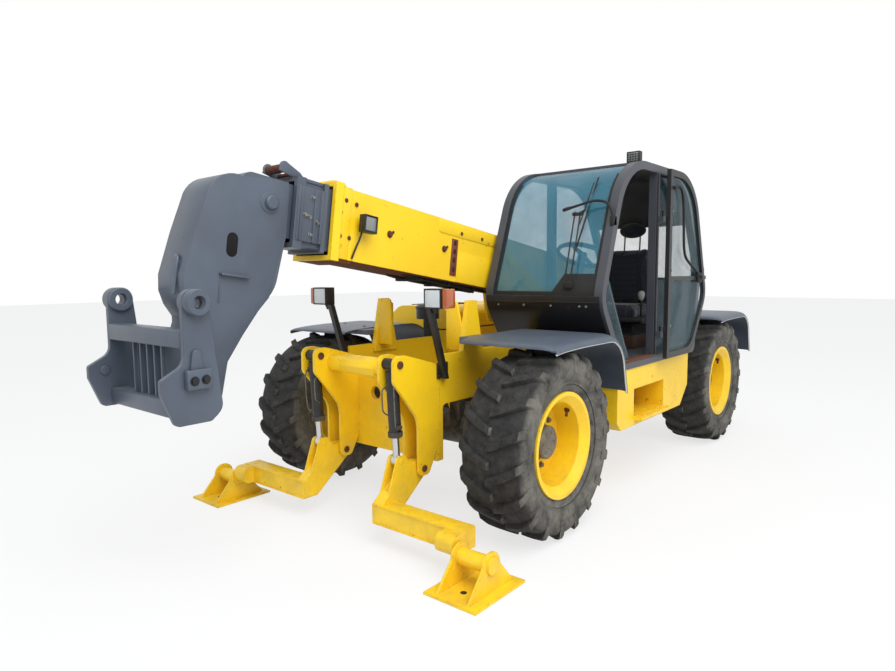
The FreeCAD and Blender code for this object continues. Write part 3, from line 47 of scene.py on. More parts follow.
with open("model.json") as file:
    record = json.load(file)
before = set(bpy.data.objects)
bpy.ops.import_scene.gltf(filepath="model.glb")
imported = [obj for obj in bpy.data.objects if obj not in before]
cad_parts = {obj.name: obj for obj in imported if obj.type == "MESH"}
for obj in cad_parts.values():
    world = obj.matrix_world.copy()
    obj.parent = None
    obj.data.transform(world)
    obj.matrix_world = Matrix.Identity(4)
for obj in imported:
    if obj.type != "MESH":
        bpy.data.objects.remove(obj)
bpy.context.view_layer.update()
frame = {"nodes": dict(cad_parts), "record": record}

# Places are millimetres forward of the front axle, to the machine's left, and above the ground.
TYRE_LOW, TYRE_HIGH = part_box("front_left_tyre")
FRONT_AXLE = (TYRE_LOW.x + TYRE_HIGH.x) / 2
REAR_AXLE = -2980
MM = 0.001

WHEELS = ("front_left", "front_right", "rear_left", "rear_right")
SIDES = (("left", 1), ("right", -1))
HANDS = (1, -1)


def at(ahead, side, up):
    """A place on the machine, in metres in the part's own frame."""
    return Vector((FRONT_AXLE + ahead * MM, side * MM, up * MM))


# ---------------------------------------------------------------- sizes and colours a user changes

class TyreSizes(bpy.types.PropertyGroup):
    lug_count: IntProperty(name="Lugs a side", description="Chevron bars on each side of the tread", default=18)
    lug_height: FloatProperty(name="Lug height", description="How far a bar stands out of the carcass",
                              default=0.044, unit="LENGTH")
    lug_width: FloatProperty(name="Lug width", description="Width of a bar at its crown",
                             default=0.060, unit="LENGTH")


class PaintColours(bpy.types.PropertyGroup):
    yellow: FloatVectorProperty(name="Machine yellow", description="Enamel on the chassis and the boom",
                                subtype="COLOR_GAMMA", size=3, default=(0.985, 0.815, 0.115))
    boom_grey: FloatVectorProperty(name="Boom grey", description="Enamel on the boom's head and carriage",
                                   subtype="COLOR_GAMMA", size=3, default=(0.285, 0.315, 0.363))
    charcoal: FloatVectorProperty(name="Cab charcoal", description="Enamel on the cab's frame",
                                  subtype="COLOR_GAMMA", size=3, default=(0.225, 0.235, 0.262))
    dust: FloatVectorProperty(name="Dust", description="Dry soil on tyres and low panels",
                              subtype="COLOR_GAMMA", size=3, default=(0.47, 0.43, 0.36))


class StudioSizes(bpy.types.PropertyGroup):
    lens: FloatProperty(name="Lens", description="Focal length of the camera", default=25.87, unit="CAMERA")
    sky: FloatProperty(name="Sky strength", description="Soft light from all round", default=0.80)
    lamp: FloatProperty(name="Lamp power", description="Power of the large soft lamp", default=640.0, unit="POWER")


GROUPS = (TyreSizes, PaintColours, StudioSizes)


# ---------------------------------------------------------------- materials

def linear(colour):
    """A colour, as a #RRGGBB text or three display values, as the linear RGBA that shaders take."""
    if isinstance(colour, str):
        colour = [int(colour[place:place + 2], 16) / 255 for place in (1, 3, 5)]
    curve = [c / 12.92 if c <= 0.04045 else ((c + 0.055) / 1.055) ** 2.4 for c in colour]
    return (*curve, 1.0)


def add(tree, kind, settings=None, links=None):
    """Add one node: settings go to its sockets or its own options, links join sources to its sockets."""
    node = tree.nodes.new("ShaderNode" + kind)
    for name, value in (settings or {}).items():
        if name == "stops":
            ramp = node.color_ramp
            for place, (position, colour) in enumerate(value):
                stop = ramp.elements[place] if place < 2 else ramp.elements.new(position)
                stop.position = position
                stop.color = colour
        elif isinstance(name, int) or name in node.inputs:
            node.inputs[name].default_value = value
        else:
            setattr(node, name, value)
    for name, source in (links or {}).items():
        tree.links.new(source, node.inputs[name])
    return node


def blank_material(name):
    """A material with an empty node tree, and its output node."""
    material = bpy.data.materials.new(name)
    material.use_nodes = True
    tree = material.node_tree
    tree.nodes.clear()
    return material, tree, add(tree, "OutputMaterial")


def object_place(tree, size_mm):
    """Object coordinates scaled so that one unit of a pattern is the given size."""
    place = add(tree, "TexCoord")
    return add(tree, "Mapping", {"Scale": [1000 / size_mm] * 3}, {"Vector": place.outputs["Object"]}).outputs[0]


def patches(tree, size_mm, low, high, detail=4.0, rough=0.6):
    """Soft noise of that patch size, stretched so that it runs from 0 at low to 1 at high."""
    noise = add(tree, "TexNoise", {"Scale": 1.0, "Detail": detail, "Roughness": rough},
                {"Vector": object_place(tree, size_mm)})
    return add(tree, "MapRange", {"From Min": low, "From Max": high}, {"Value": noise.outputs[0]}).outputs[0]


def times(tree, first, second, operation="MULTIPLY"):
    """One mask combined with another mask or a number."""
    settings = {"operation": operation, "use_clamp": True}
    links = {0: first}
    if isinstance(second, (int, float)):
        settings[1] = second
    else:
        links[1] = second
    return add(tree, "Math", settings, links).outputs[0]


def blend(tree, mask, under, over, kind="MIX"):
    """Colour over colour by a mask.  A colour may be a socket or a colour value."""
    settings = {"data_type": "RGBA", "blend_type": kind}
    links = {}
    for socket, value in ((0, mask), (6, under), (7, over)):
        if isinstance(value, bpy.types.NodeSocket):
            links[socket] = value
        else:
            settings[socket] = value if socket == 0 else linear(value)
    return add(tree, "Mix", settings, links).outputs[2]


def sharp_edges(tree, radius_mm, low, high):
    """1 on the sharp edges of a piece, where the rounded normal leaves the flat one."""
    bevel = add(tree, "Bevel", {"samples": 4, "Radius": radius_mm * MM})
    flat = add(tree, "NewGeometry")
    match = add(tree, "VectorMath", {"operation": "DOT_PRODUCT"},
                {0: bevel.outputs[0], 1: flat.outputs["Normal"]})
    edge = add(tree, "MapRange", {"From Min": low, "From Max": high}, {"Value": match.outputs["Value"]})
    return edge.outputs[0], bevel.outputs[0]


def low_down(tree, floor_mm, top_mm):
    """1 near the ground, fading to 0 at the upper height."""
    place = add(tree, "SeparateXYZ", None, {0: add(tree, "TexCoord").outputs["Object"]})
    return add(tree, "MapRange", {"From Min": top_mm * MM, "From Max": floor_mm * MM},
               {"Value": place.outputs[2]}).outputs[0]


def facing_up(tree, start=0.55, full=0.95):
    """1 on faces that look up in the piece's own frame, where dust settles."""
    normal = add(tree, "SeparateXYZ", None, {0: add(tree, "TexCoord").outputs["Normal"]})
    return add(tree, "MapRange", {"From Min": start, "From Max": full}, {"Value": normal.outputs[2]}).outputs[0]


def orange_peel(tree, size_mm, depth_mm, normal=None):
    """Fine bumps of sprayed paint or a cast skin."""
    noise = add(tree, "TexNoise", {"Scale": 1.0, "Detail": 3.0}, {"Vector": object_place(tree, size_mm)})
    links = {"Height": noise.outputs[0]}
    if normal is not None:
        links["Normal"] = normal
    return add(tree, "Bump", {"Strength": 0.35, "Distance": depth_mm * MM}, links).outputs[0]


def enamelled_steel(name, colour, worn, dust, dusting, wear, gloss=0.38):
    """Sprayed alkyd enamel on plate: gentle gloss, soft colour drift, grime low down, dust on the ledges
    and chips on the edges that show primer and rust."""
    material, tree, output = blank_material(name)
    drift = patches(tree, 420, 0.35, 0.70)
    paint = blend(tree, times(tree, drift, 0.55), colour, worn)
    grime = times(tree, low_down(tree, 150, 1150), patches(tree, 150, 0.40, 0.72, 6.0, 0.7))
    settled = times(tree, facing_up(tree), patches(tree, 95, 0.38, 0.66, 5.0))
    soil = times(tree, times(tree, grime, settled, "MAXIMUM"), dusting)
    paint = blend(tree, soil, paint, dust)
    edge, rounded = sharp_edges(tree, 5, 0.985, 0.86)
    chips = times(tree, edge, patches(tree, 34, 0.50, 0.56, 6.0, 0.75))
    spots = times(tree, patches(tree, 60, 0.655, 0.675, 8.0, 0.7), 0.8)
    bare = times(tree, times(tree, chips, spots, "MAXIMUM"), wear)
    paint = blend(tree, bare, paint, "#5B3A22")
    shine = add(tree, "MapRange", {"To Min": gloss, "To Max": 0.78}, {"Value": times(tree, soil, bare, "MAXIMUM")})
    surface = add(tree, "BsdfPrincipled", {"IOR": 1.5}, {
        "Base Color": paint, "Roughness": shine.outputs[0], "Normal": orange_peel(tree, 4, 0.25, rounded)})
    tree.links.new(surface.outputs[0], output.inputs[0])
    return material


def dusty_rubber(name, clean, dust, dirty, side_dust):
    """Vulcanised natural rubber with carbon black: matt, near black where it runs on the ground,
    pale with dry soil on the walls and between the bars."""
    material, tree, output = blank_material(name)
    normal = add(tree, "SeparateXYZ", None, {0: add(tree, "TexCoord").outputs["Normal"]})
    sideways = add(tree, "Math", {"operation": "ABSOLUTE"}, {0: normal.outputs[1]})
    wall = add(tree, "MapRange", {"From Min": 0.45, "From Max": 0.95}, {"Value": sideways.outputs[0]})
    spread = patches(tree, 140, 0.30, 0.62, 7.0, 0.7)
    base = times(tree, patches(tree, 60, 0.36, 0.70, 6.0, 0.7), dirty)
    soil = times(tree, times(tree, times(tree, wall.outputs[0], spread), side_dust), base, "MAXIMUM")
    skin = blend(tree, soil, clean, dust)
    grit = add(tree, "TexNoise", {"Scale": 1.0, "Detail": 6.0, "Roughness": 0.75},
               {"Vector": object_place(tree, 22)})
    relief = add(tree, "Bump", {"Strength": 0.6, "Distance": 0.003}, {"Height": grit.outputs[0]})
    surface = add(tree, "BsdfPrincipled", {"IOR": 1.52, "Roughness": 0.82}, {
        "Base Color": skin, "Normal": relief.outputs[0]})
    tree.links.new(surface.outputs[0], output.inputs[0])
    return material


def cast_iron(name, colour, dust, dusting):
    """Sand-cast iron under thin black paint: pebbled skin, semi-matt, with dry mud in the hollows."""
    material, tree, output = blank_material(name)
    mud = times(tree, patches(tree, 90, 0.38, 0.62, 7.0, 0.7), dusting)
    skin = blend(tree, mud, colour, dust)
    surface = add(tree, "BsdfPrincipled", {"IOR": 1.5, "Roughness": 0.62}, {
        "Base Color": skin, "Normal": orange_peel(tree, 7, 0.8)})
    tree.links.new(surface.outputs[0], output.inputs[0])
    return material


def moulded_plastic(name, colour, worn, rough=0.5):
    """Injection-moulded plastic: fine leather grain, a soft sheen and faded patches."""
    material, tree, output = blank_material(name)
    skin = blend(tree, times(tree, patches(tree, 300, 0.38, 0.68), 0.6), colour, worn)
    surface = add(tree, "BsdfPrincipled", {"IOR": 1.49, "Roughness": rough}, {
        "Base Color": skin, "Normal": orange_peel(tree, 3, 0.2)})
    tree.links.new(surface.outputs[0], output.inputs[0])
    return material


def hard_chrome(name):
    """Ground and hard-chromed piston rod: bright metal with an oily haze."""
    material, tree, output = blank_material(name)
    haze = add(tree, "MapRange", {"To Min": 0.14, "To Max": 0.34}, {"Value": patches(tree, 40, 0.35, 0.7)})
    surface = add(tree, "BsdfPrincipled", {"Metallic": 1.0, "Base Color": linear("#C9CCCE")},
                  {"Roughness": haze.outputs[0]})
    tree.links.new(surface.outputs[0], output.inputs[0])
    return material


def zinc_plated_steel(name, colour="#8F9392"):
    """Zinc-plated bolt steel: dull metal, mottled and darker where it has been handled."""
    material, tree, output = blank_material(name)
    skin = blend(tree, patches(tree, 14, 0.42, 0.66, 5.0), colour, "#5F5A52")
    surface = add(tree, "BsdfPrincipled", {"Metallic": 0.85, "Roughness": 0.46}, {"Base Color": skin})
    tree.links.new(surface.outputs[0], output.inputs[0])
    return material


def rusty_steel(name):
    """Bare mild steel left outdoors: brown iron oxide, rough and blotched."""
    material, tree, output = blank_material(name)
    skin = blend(tree, patches(tree, 18, 0.38, 0.66, 7.0, 0.7), "#6A3A22", "#3A2418")
    surface = add(tree, "BsdfPrincipled", {"IOR": 1.5, "Roughness": 0.86}, {
        "Base Color": skin, "Normal": orange_peel(tree, 4, 0.7)})
    tree.links.new(surface.outputs[0], output.inputs[0])
    return material


def glass_tint_and_painted_reflection(name, tint_and_reflection_colour, cover_and_reflection_opacity):
    """Toughened solar glass: a green-blue colour with clear gloss, and a thin layer of dust. On the windscreen, the
    strong blue colour and the high opacity are a painted reflection of the sky.
    """
    material, tree, output = blank_material(name)
    dust_and_reflection_alpha = add(tree, "MapRange", {"To Min": cover_and_reflection_opacity, "To Max": cover_and_reflection_opacity + 0.10},
               {"Value": patches(tree, 240, 0.35, 0.7)})
    pane = add(tree, "BsdfPrincipled", {"IOR": 1.52, "Roughness": 0.04, "Base Color": linear(tint_and_reflection_colour),
                                        "Specular IOR Level": 0.8},
               {"Alpha": dust_and_reflection_alpha.outputs[0]})
    tree.links.new(pane.outputs[0], output.inputs[0])
    return material


def lens(name, colour):
    """Fluted polycarbonate lamp lens: smooth and clear-coated, with upright flutes about 7.5 mm apart."""
    material, tree, output = blank_material(name)
    flutes = add(tree, "TexWave", {"Scale": 1.0, "bands_direction": "Y", "Distortion": 0.0},
                 {"Vector": object_place(tree, 24)})
    relief = add(tree, "Bump", {"Strength": 0.5, "Distance": 0.002}, {"Height": flutes.outputs[1]})
    surface = add(tree, "BsdfPrincipled", {"IOR": 1.58, "Roughness": 0.12, "Base Color": linear(colour),
                                           "Coat Weight": 1.0, "Coat Roughness": 0.05},
                  {"Normal": relief.outputs[0]})
    tree.links.new(surface.outputs[0], output.inputs[0])
    return material


def woven_cloth(name, colour, thread):
    """Flat-woven polyester seat cloth: crossed threads, no gloss and a faint sheen at the edges.
    Real threads are half a millimetre; the waves are drawn about 5.7 mm apart so that they show."""
    material, tree, output = blank_material(name)
    height = None
    for direction in ("X", "Y", "Z"):
        wave = add(tree, "TexWave", {"Scale": 1.0, "bands_direction": direction, "Distortion": 0.4},
                   {"Vector": object_place(tree, 18)})
        height = wave.outputs[1] if height is None else times(tree, height, wave.outputs[1])
    skin = blend(tree, height, colour, thread)
    relief = add(tree, "Bump", {"Strength": 0.6, "Distance": 0.0015}, {"Height": height})
    surface = add(tree, "BsdfPrincipled", {"IOR": 1.45, "Roughness": 0.92, "Sheen Weight": 0.35,
                                           "Sheen Roughness": 0.5},
                  {"Base Color": skin, "Normal": relief.outputs[0]})
    tree.links.new(surface.outputs[0], output.inputs[0])
    return material


MATERIALS = {}


def mix_materials():
    """Make every finish once, from the colours in the panel."""
    colours = bpy.context.scene.handler_paint
    yellow, grey = tuple(colours.yellow), tuple(colours.boom_grey)
    charcoal, dust = tuple(colours.charcoal), tuple(colours.dust)
    MATERIALS.update({
        "machine_yellow": enamelled_steel("yellow alkyd enamel", yellow, "#F1C21F", "#8A7148", 0.34, 0.7),
        "boom_grey": enamelled_steel("grey alkyd enamel", grey, "#5A6574", "#8D8E8C", 0.30, 0.35),
        "cab_charcoal": enamelled_steel("charcoal enamel", charcoal, "#41454E", "#6E6B66", 0.30, 0.25),
        "cast_dark": cast_iron("black cast iron", "#14130F", dust, 0.45),
        "black_paint": enamelled_steel("black enamel", "#17181A", "#232426", "#5D564A", 0.45, 0.35, 0.42),
        "fender_plastic": moulded_plastic("moulded polyethylene", "#454E5B", "#56606F", 0.42),
        "tyre_rubber": dusty_rubber("dusty tyre rubber", "#101114", "#77746B", 0.20, 0.85),
        "polished_rod": hard_chrome("hard chrome"),
        "glass": glass_tint_and_painted_reflection("tinted safety glass", "#35606A", 0.13),
        "lamp_plastic": moulded_plastic("black lamp housing", "#15161A", "#22242A", 0.45),
        "seat_fabric": woven_cloth("woven seat cloth", "#0D1220", "#1B2235"),
        "bolt": zinc_plated_steel("zinc-plated steel"),
        "rust": rusty_steel("rusted steel"),
        "rust_red": enamelled_steel("red oxide primer", "#7A3B28", "#5B2E20", "#4A3A2C", 0.5, 0.6, 0.6),
        "black_rubber": moulded_plastic("extruded black rubber", "#101112", "#1C1D1E", 0.7),
        "clear_lens": lens("clear lamp lens", "#C9D0D3"),
        "amber_lens": lens("amber lamp lens", "#A9521A"),
        "smoked_lens": lens("dusty lamp lens", "#757A78"),
        # Near-black sheet for the neck's slots: painted shade in their openings.
        "slot_painted_shade": moulded_plastic("unlit hollow", "#050505", "#080808", 0.95),
        # Windscreen: its strong blue colour and high opacity are a painted reflection of the sky.
        "screen_glass": glass_tint_and_painted_reflection("blue-green screen glass", "#2E7A92", 0.40),
        "red_lens": lens("red lamp lens", "#8E1B16"),
        "brown_plastic": moulded_plastic("brown moulded plastic", "#3A2418", "#4B3020", 0.55),
        "pipe_steel": zinc_plated_steel("zinc-plated pipe", "#76797A"),
        "hub_iron": cast_iron("weathered cast iron", "#5C564C", "#80776A", 0.8),
        "grey_plastic": moulded_plastic("grey moulded plastic", "#A9ABA8", "#8E908D", 0.5),
        "black_enamel": enamelled_steel("black panel enamel", "#121114", "#1B1A1C", "#5D564A", 0.25, 0.2, 0.36),
        # Pale colour for the fenders' lips: a painted highlight.
        "fender_lip_painted_highlight": moulded_plastic("pale edge strip", "#C9CCCB", "#A6A9A6", 0.5),
        # Darker yellow for the back of the step box: painted shade in the recess.
        "step_recess_painted_shade": enamelled_steel("soiled yellow enamel", "#B9860F", "#9C6F08", "#6B5230", 0.8, 0.6),
    })


# ---------------------------------------------------------------- modelling helpers

def only(obj):
    """Leave nothing selected but one object, and make it the active one."""
    bpy.ops.object.select_all(action="DESELECT")
    obj.select_set(True)
    bpy.context.view_layer.objects.active = obj


def start(name):
    """Name the object that the last primitive made, with its place put into its mesh."""
    obj = bpy.context.view_layer.objects.active
    only(obj)
    bpy.ops.object.transform_apply(location=True, rotation=True, scale=True)
    obj.name = name
    obj.data.name = name
    return obj


def outward(obj):
    """Turn every face of a piece outward."""
    only(obj)
    bpy.ops.object.mode_set(mode="EDIT")
    bpy.ops.mesh.select_all(action="SELECT")
    bpy.ops.mesh.normals_make_consistent(inside=False)
    bpy.ops.object.mode_set(mode="OBJECT")
    return obj


def select(obj, kind, test):
    """Select an object's verts, edges or faces by a test of each one, in edit mode."""
    work = bmesh.from_edit_mesh(obj.data)
    for part in (work.verts, work.edges, work.faces):
        for item in part:
            item.select = False
    for item in getattr(work, kind):
        if test(item):
            item.select_set(True)
    work.select_flush_mode()
    bmesh.update_edit_mesh(obj.data)


def soften(obj, width_mm, segments=2):
    """Bevel the sharp edges and shade the rounds smooth."""
    only(obj)
    rounding = obj.modifiers.new("rounding", "BEVEL")
    rounding.width = width_mm * MM
    rounding.segments = segments
    rounding.limit_method = "ANGLE"
    bpy.ops.object.modifier_apply(modifier=rounding.name)
    bpy.ops.object.shade_smooth_by_angle(angle=math.radians(40))
    return obj


def block(name, low, high, round_mm=3):
    """A softened block between two corners."""
    low, high = Vector(map(min, low, high)), Vector(map(max, low, high))
    bpy.ops.object.select_all(action="DESELECT")
    bpy.ops.mesh.primitive_cube_add(size=1, location=(low + high) / 2, scale=high - low)
    return soften(start(name), round_mm)


def plate(name, plane, outline, near, far, round_mm=2):
    """A plate cut to an outline (first, second) in the plane "XY", "XZ" or "YZ", between two levels."""
    bpy.ops.object.select_all(action="DESELECT")
    bpy.ops.mesh.primitive_circle_add(vertices=len(outline), radius=1, fill_type="NGON")
    obj = start(name)
    axes = {"XY": (0, 1, 2), "XZ": (0, 2, 1), "YZ": (1, 2, 0)}[plane]
    for vertex, corner in zip(obj.data.vertices, outline):
        place = [0.0, 0.0, 0.0]
        place[axes[0]], place[axes[1]], place[axes[2]] = corner[0], corner[1], near
        vertex.co = place
    only(obj)
    bpy.ops.object.mode_set(mode="EDIT")
    bpy.ops.mesh.select_all(action="SELECT")
    reach = [0.0, 0.0, 0.0]
    reach[axes[2]] = far - near
    bpy.ops.mesh.extrude_region_move(TRANSFORM_OT_translate={"value": reach})
    bpy.ops.object.mode_set(mode="OBJECT")
    return soften(outward(obj), round_mm)


def toward(direction):
    """The rotation that turns +Z into a direction."""
    return Vector(direction).normalized().to_track_quat("Z", "Y").to_euler()


def rod(name, begin, end, radius_mm, round_mm=1.5, sides=24):
    """A round bar from one point to another with softened ends."""
    begin, end = Vector(begin), Vector(end)
    bpy.ops.object.select_all(action="DESELECT")
    bpy.ops.mesh.primitive_cylinder_add(vertices=sides, radius=radius_mm * MM, depth=(end - begin).length,
                                        location=(begin + end) / 2, rotation=toward(end - begin))
    return soften(start(name), round_mm)


def pipe(name, points, radius_mm):
    """A bent pipe whose line runs smoothly near its points."""
    bpy.ops.object.select_all(action="DESELECT")
    bpy.ops.curve.primitive_nurbs_path_add()
    obj = bpy.context.view_layer.objects.active
    line = obj.data
    line.splines.clear()
    spline = line.splines.new("NURBS")
    spline.points.add(len(points) - 1)
    for point, place in zip(spline.points, points):
        point.co = (*place, 1.0)
    spline.order_u = 3
    spline.use_endpoint_u = True
    line.dimensions = "3D"
    line.resolution_u = 8
    line.bevel_depth = radius_mm * MM
    line.bevel_resolution = 3
    line.use_fill_caps = True
    obj.location = (0, 0, 0)
    only(obj)
    bpy.ops.object.convert(target="MESH")
    obj = start(name)
    bpy.ops.object.shade_smooth_by_angle(angle=math.radians(50))
    return obj


def ring(name, profile, middle, axis, steps=48):
    """A closed ring profile of (out, along) points, spun round an axis through the middle."""
    axis = Vector(axis).normalized()
    out = axis.orthogonal().normalized()
    bpy.ops.object.select_all(action="DESELECT")
    bpy.ops.mesh.primitive_circle_add(vertices=len(profile), radius=1, fill_type="NOTHING")
    obj = start(name)
    for vertex, (radius, along) in zip(obj.data.vertices, profile):
        vertex.co = Vector(middle) + out * radius + axis * along
    only(obj)
    bpy.ops.object.mode_set(mode="EDIT")
    bpy.ops.mesh.select_all(action="SELECT")
    bpy.ops.mesh.spin(steps=steps, angle=math.tau, center=middle, axis=axis)
    bpy.ops.mesh.select_all(action="SELECT")
    bpy.ops.mesh.remove_doubles(threshold=0.00005)
    bpy.ops.mesh.dissolve_degenerate(threshold=0.00005)
    bpy.ops.mesh.delete_loose()
    bpy.ops.object.mode_set(mode="OBJECT")
    outward(obj)
    bpy.ops.object.shade_smooth_by_angle(angle=math.radians(35))
    return obj


def lofted(name, sections):
    """A solid through closed sections of the same number of points, each extruded from the last."""
    bpy.ops.object.select_all(action="DESELECT")
    bpy.ops.mesh.primitive_circle_add(vertices=len(sections[0]), radius=1, fill_type="NGON")
    obj = start(name)
    for vertex, place in zip(obj.data.vertices, sections[0]):
        vertex.co = place
    bpy.ops.object.mode_set(mode="EDIT")
    bpy.ops.mesh.select_all(action="SELECT")
    for before, after in zip(sections, sections[1:]):
        bpy.ops.mesh.extrude_region_move()
        work = bmesh.from_edit_mesh(obj.data)
        for vertex in [vertex for vertex in work.verts if vertex.select]:
            nearest = min(range(len(before)), key=lambda place: (before[place] - vertex.co).length)
            vertex.co = after[nearest]
        bmesh.update_edit_mesh(obj.data)
    bpy.ops.object.mode_set(mode="OBJECT")
    return outward(obj)


def copied(obj, name, move=(0, 0, 0)):
    """A copy with its own mesh, moved."""
    only(obj)
    bpy.ops.object.duplicate(linked=False)
    copy = bpy.context.view_layer.objects.active
    copy.location = Vector(move)
    return start(name)


def flipped(obj):
    """The piece turned over to the machine's other side, with its faces outward again."""
    only(obj)
    obj.scale = (1, -1, 1)
    return outward(start(obj.name))


def joined(name, pieces):
    """Several objects as one, under one name."""
    bpy.ops.object.select_all(action="DESELECT")
    for piece in pieces:
        piece.select_set(True)
    bpy.context.view_layer.objects.active = pieces[0]
    if len(pieces) > 1:
        bpy.ops.object.join()
    return start(name)


def finish(obj, body, material):
    """Give a piece its finish and let it ride on a body."""
    obj.data.materials.clear()
    obj.data.materials.append(MATERIALS[material])
    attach(obj, body)
    return obj


def fit(name, pieces, body, material):
    """Join pieces under one name, and finish them."""
    return finish(joined(name, pieces), body, material)


WASHER_SHARE = 0.68


def bolts(name, places, direction, across_mm, height_mm):
    """Hexagon heads with washers at the given places, all facing one way."""
    direction = Vector(direction).normalized()
    turn = toward(direction)
    made = []
    for place in places:
        place = Vector(place)
        bpy.ops.object.select_all(action="DESELECT")
        bpy.ops.mesh.primitive_cylinder_add(vertices=6, radius=across_mm / 2 * MM, depth=height_mm * MM,
                                            location=place + direction * height_mm * MM / 2, rotation=turn)
        made.append(start(name))
        bpy.ops.object.select_all(action="DESELECT")
        bpy.ops.mesh.primitive_cylinder_add(vertices=20, radius=across_mm * WASHER_SHARE * MM, depth=3 * MM,
                                            location=place + direction * 1.5 * MM, rotation=turn)
        made.append(start(name))
    return soften(joined(name, made), min(1.2, height_mm * 0.15), 1)


# ---------------------------------------------------------------- paint on the imported nodes

# Nodes whose finish in the scene is not the one that their slot names. The windscreen's finish carries a painted
# reflection of the sky.
NODE_FINISH = {"steering_console": "lamp_plastic", "steering_wheel": "lamp_plastic", "windscreen": "screen_glass"}


class HANDLER_OT_paint(bpy.types.Operator):
    """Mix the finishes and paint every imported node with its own."""
    bl_idname = "handler.paint"
    bl_label = "Paint the machine"

    def execute(self, context):
        mix_materials()
        finishes = {entry["node"]: entry["material_slot"] for entry in frame["record"]["subparts"]}
        finishes.update(NODE_FINISH)
        for name, node in frame["nodes"].items():
            material = MATERIALS[finishes[name]]
            if not node.material_slots:
                node.data.materials.append(material)
            for holder in node.material_slots:
                holder.material = material
        return {"FINISHED"}


# ---------------------------------------------------------------- tyres and wheels

def wheel_middle(wheel):
    """The centre of a wheel."""
    low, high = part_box(wheel + "_tyre")
    return (low + high) / 2


# Half of the carcass section as (radius, across): bead, rim strip, bulging wall and crowned tread.
HALF_SECTION = ((0.3006, 0.140), (0.3006, 0.1640), (0.3270, 0.1655), (0.350, 0.181), (0.370, 0.185),
                (0.374, 0.191), (0.383, 0.191), (0.387, 0.189), (0.420, 0.204), (0.455, 0.2115),
                (0.488, 0.2125), (0.513, 0.205), (0.530, 0.190), (0.538, 0.165), (0.5425, 0.110),
                (0.5445, 0.045))

# Stations along one tread bar as (across, along the tread, drop below the crown).
BAR_STATIONS = ((-0.010, 0.030, 0.0), (0.045, 0.010, 0.0), (0.105, -0.018, 0.0006), (0.160, -0.050, 0.0035),
                (0.194, -0.073, 0.014), (0.2095, -0.086, 0.040), (0.2145, -0.096, 0.080))
TREAD_RADIUS = 0.5747
# A bar's foot is sunk in the carcass, its crown is narrower, and it widens towards the shoulder.
BAR_SINK, CROWN_SHARE, SHOULDER_FLARE = 0.012, 0.70, 0.30


def bar_section(station, place, share):
    """The four corners of a bar at one station, wrapped round the tyre."""
    sizes = bpy.context.scene.handler_tyre
    across, along, drop = station
    half = sizes.lug_width / 2 * (1 + SHOULDER_FLARE * share)
    foot = TREAD_RADIUS - sizes.lug_height - BAR_SINK
    corners = []
    for reach, level in ((-1.0, foot), (-CROWN_SHARE, TREAD_RADIUS), (CROWN_SHARE, TREAD_RADIUS), (1.0, foot)):
        angle = (along + reach * half) / TREAD_RADIUS + place
        radius = level - drop
        corners.append(Vector((radius * math.sin(angle), across, radius * math.cos(angle))))
    return corners


def tread_bar(name, place):
    """One bar of the tread, that far round the tyre."""
    last = len(BAR_STATIONS) - 1
    sections = [bar_section(station, place, index / last) for index, station in enumerate(BAR_STATIONS)]
    return lofted(name, sections)


def turned_copies(obj, name, count):
    """Copies of a piece spaced evenly round the Y axis at the origin, joined."""
    made = [obj]
    for place in range(1, count):
        only(obj)
        bpy.ops.object.duplicate(linked=False)
        copy = bpy.context.view_layer.objects.active
        copy.rotation_euler = (0, math.tau * place / count, 0)
        made.append(start(name))
    return joined(name, made)


def build_tyre(name):
    """One tyre about the origin: a spun carcass with staggered rows of bars."""
    count = bpy.context.scene.handler_tyre.lug_count
    section = list(HALF_SECTION) + [(radius, -across) for radius, across in reversed(HALF_SECTION)]
    carcass = ring(name, section, (0, 0, 0), (0, 1, 0), steps=72)
    pitch = math.tau / count
    near = soften(tread_bar(name, 0), 4, 2)
    far = soften(flipped(tread_bar(name, pitch / 2)), 4, 2)
    return joined(name, [carcass, turned_copies(joined(name, [near, far]), name, count)])


class HANDLER_OT_tyres(bpy.types.Operator):
    """Mould the four tyres with their chevron bars and stand them on the wheels."""
    bl_idname = "handler.tyres"
    bl_label = "Tyres"

    def execute(self, context):
        first = build_tyre("tyre_pattern")
        for wheel in WHEELS:
            tyre = copied(first, wheel + "_tread", wheel_middle(wheel))
            finish(tyre, wheel + "_wheel", "tyre_rubber")
            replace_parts(tyre, wheel + "_tyre")
        bpy.data.objects.remove(first)
        return {"FINISHED"}


# ---------------------------------------------------------------- frames the details are drawn in

BOOM_TILT = math.radians(8)
BOOM_PIVOT = (-3400, 0, 1310)


def mm(along, side, up):
    """A place in millimetres, in a frame of its own, as metres."""
    return Vector((along, side, up)) * MM


def onto_boom(obj):
    """Turn a piece drawn along the boom to the boom's tilt, and set it on the boom's pivot."""
    only(obj)
    obj.rotation_euler = (0, -BOOM_TILT, 0)
    obj.location = at(*BOOM_PIVOT)
    return start(obj.name)


def arc(middle, radius, first, last, count):
    """Points in millimetres on an arc, between two angles in degrees."""
    points = []
    for step in range(count):
        angle = math.radians(first + (last - first) * step / (count - 1))
        points.append((middle[0] + radius * math.cos(angle), middle[1] + radius * math.sin(angle)))
    return points


def outline(points, ahead=0.0):
    """An outline in millimetres as metres, moved forward."""
    return [(ahead + first * MM, second * MM) for first, second in points]


def fit_on_boom(name, pieces, body, material):
    """Join pieces drawn along the boom under one name, set them on the boom, and finish them."""
    return finish(onto_boom(joined(name, pieces)), body, material)


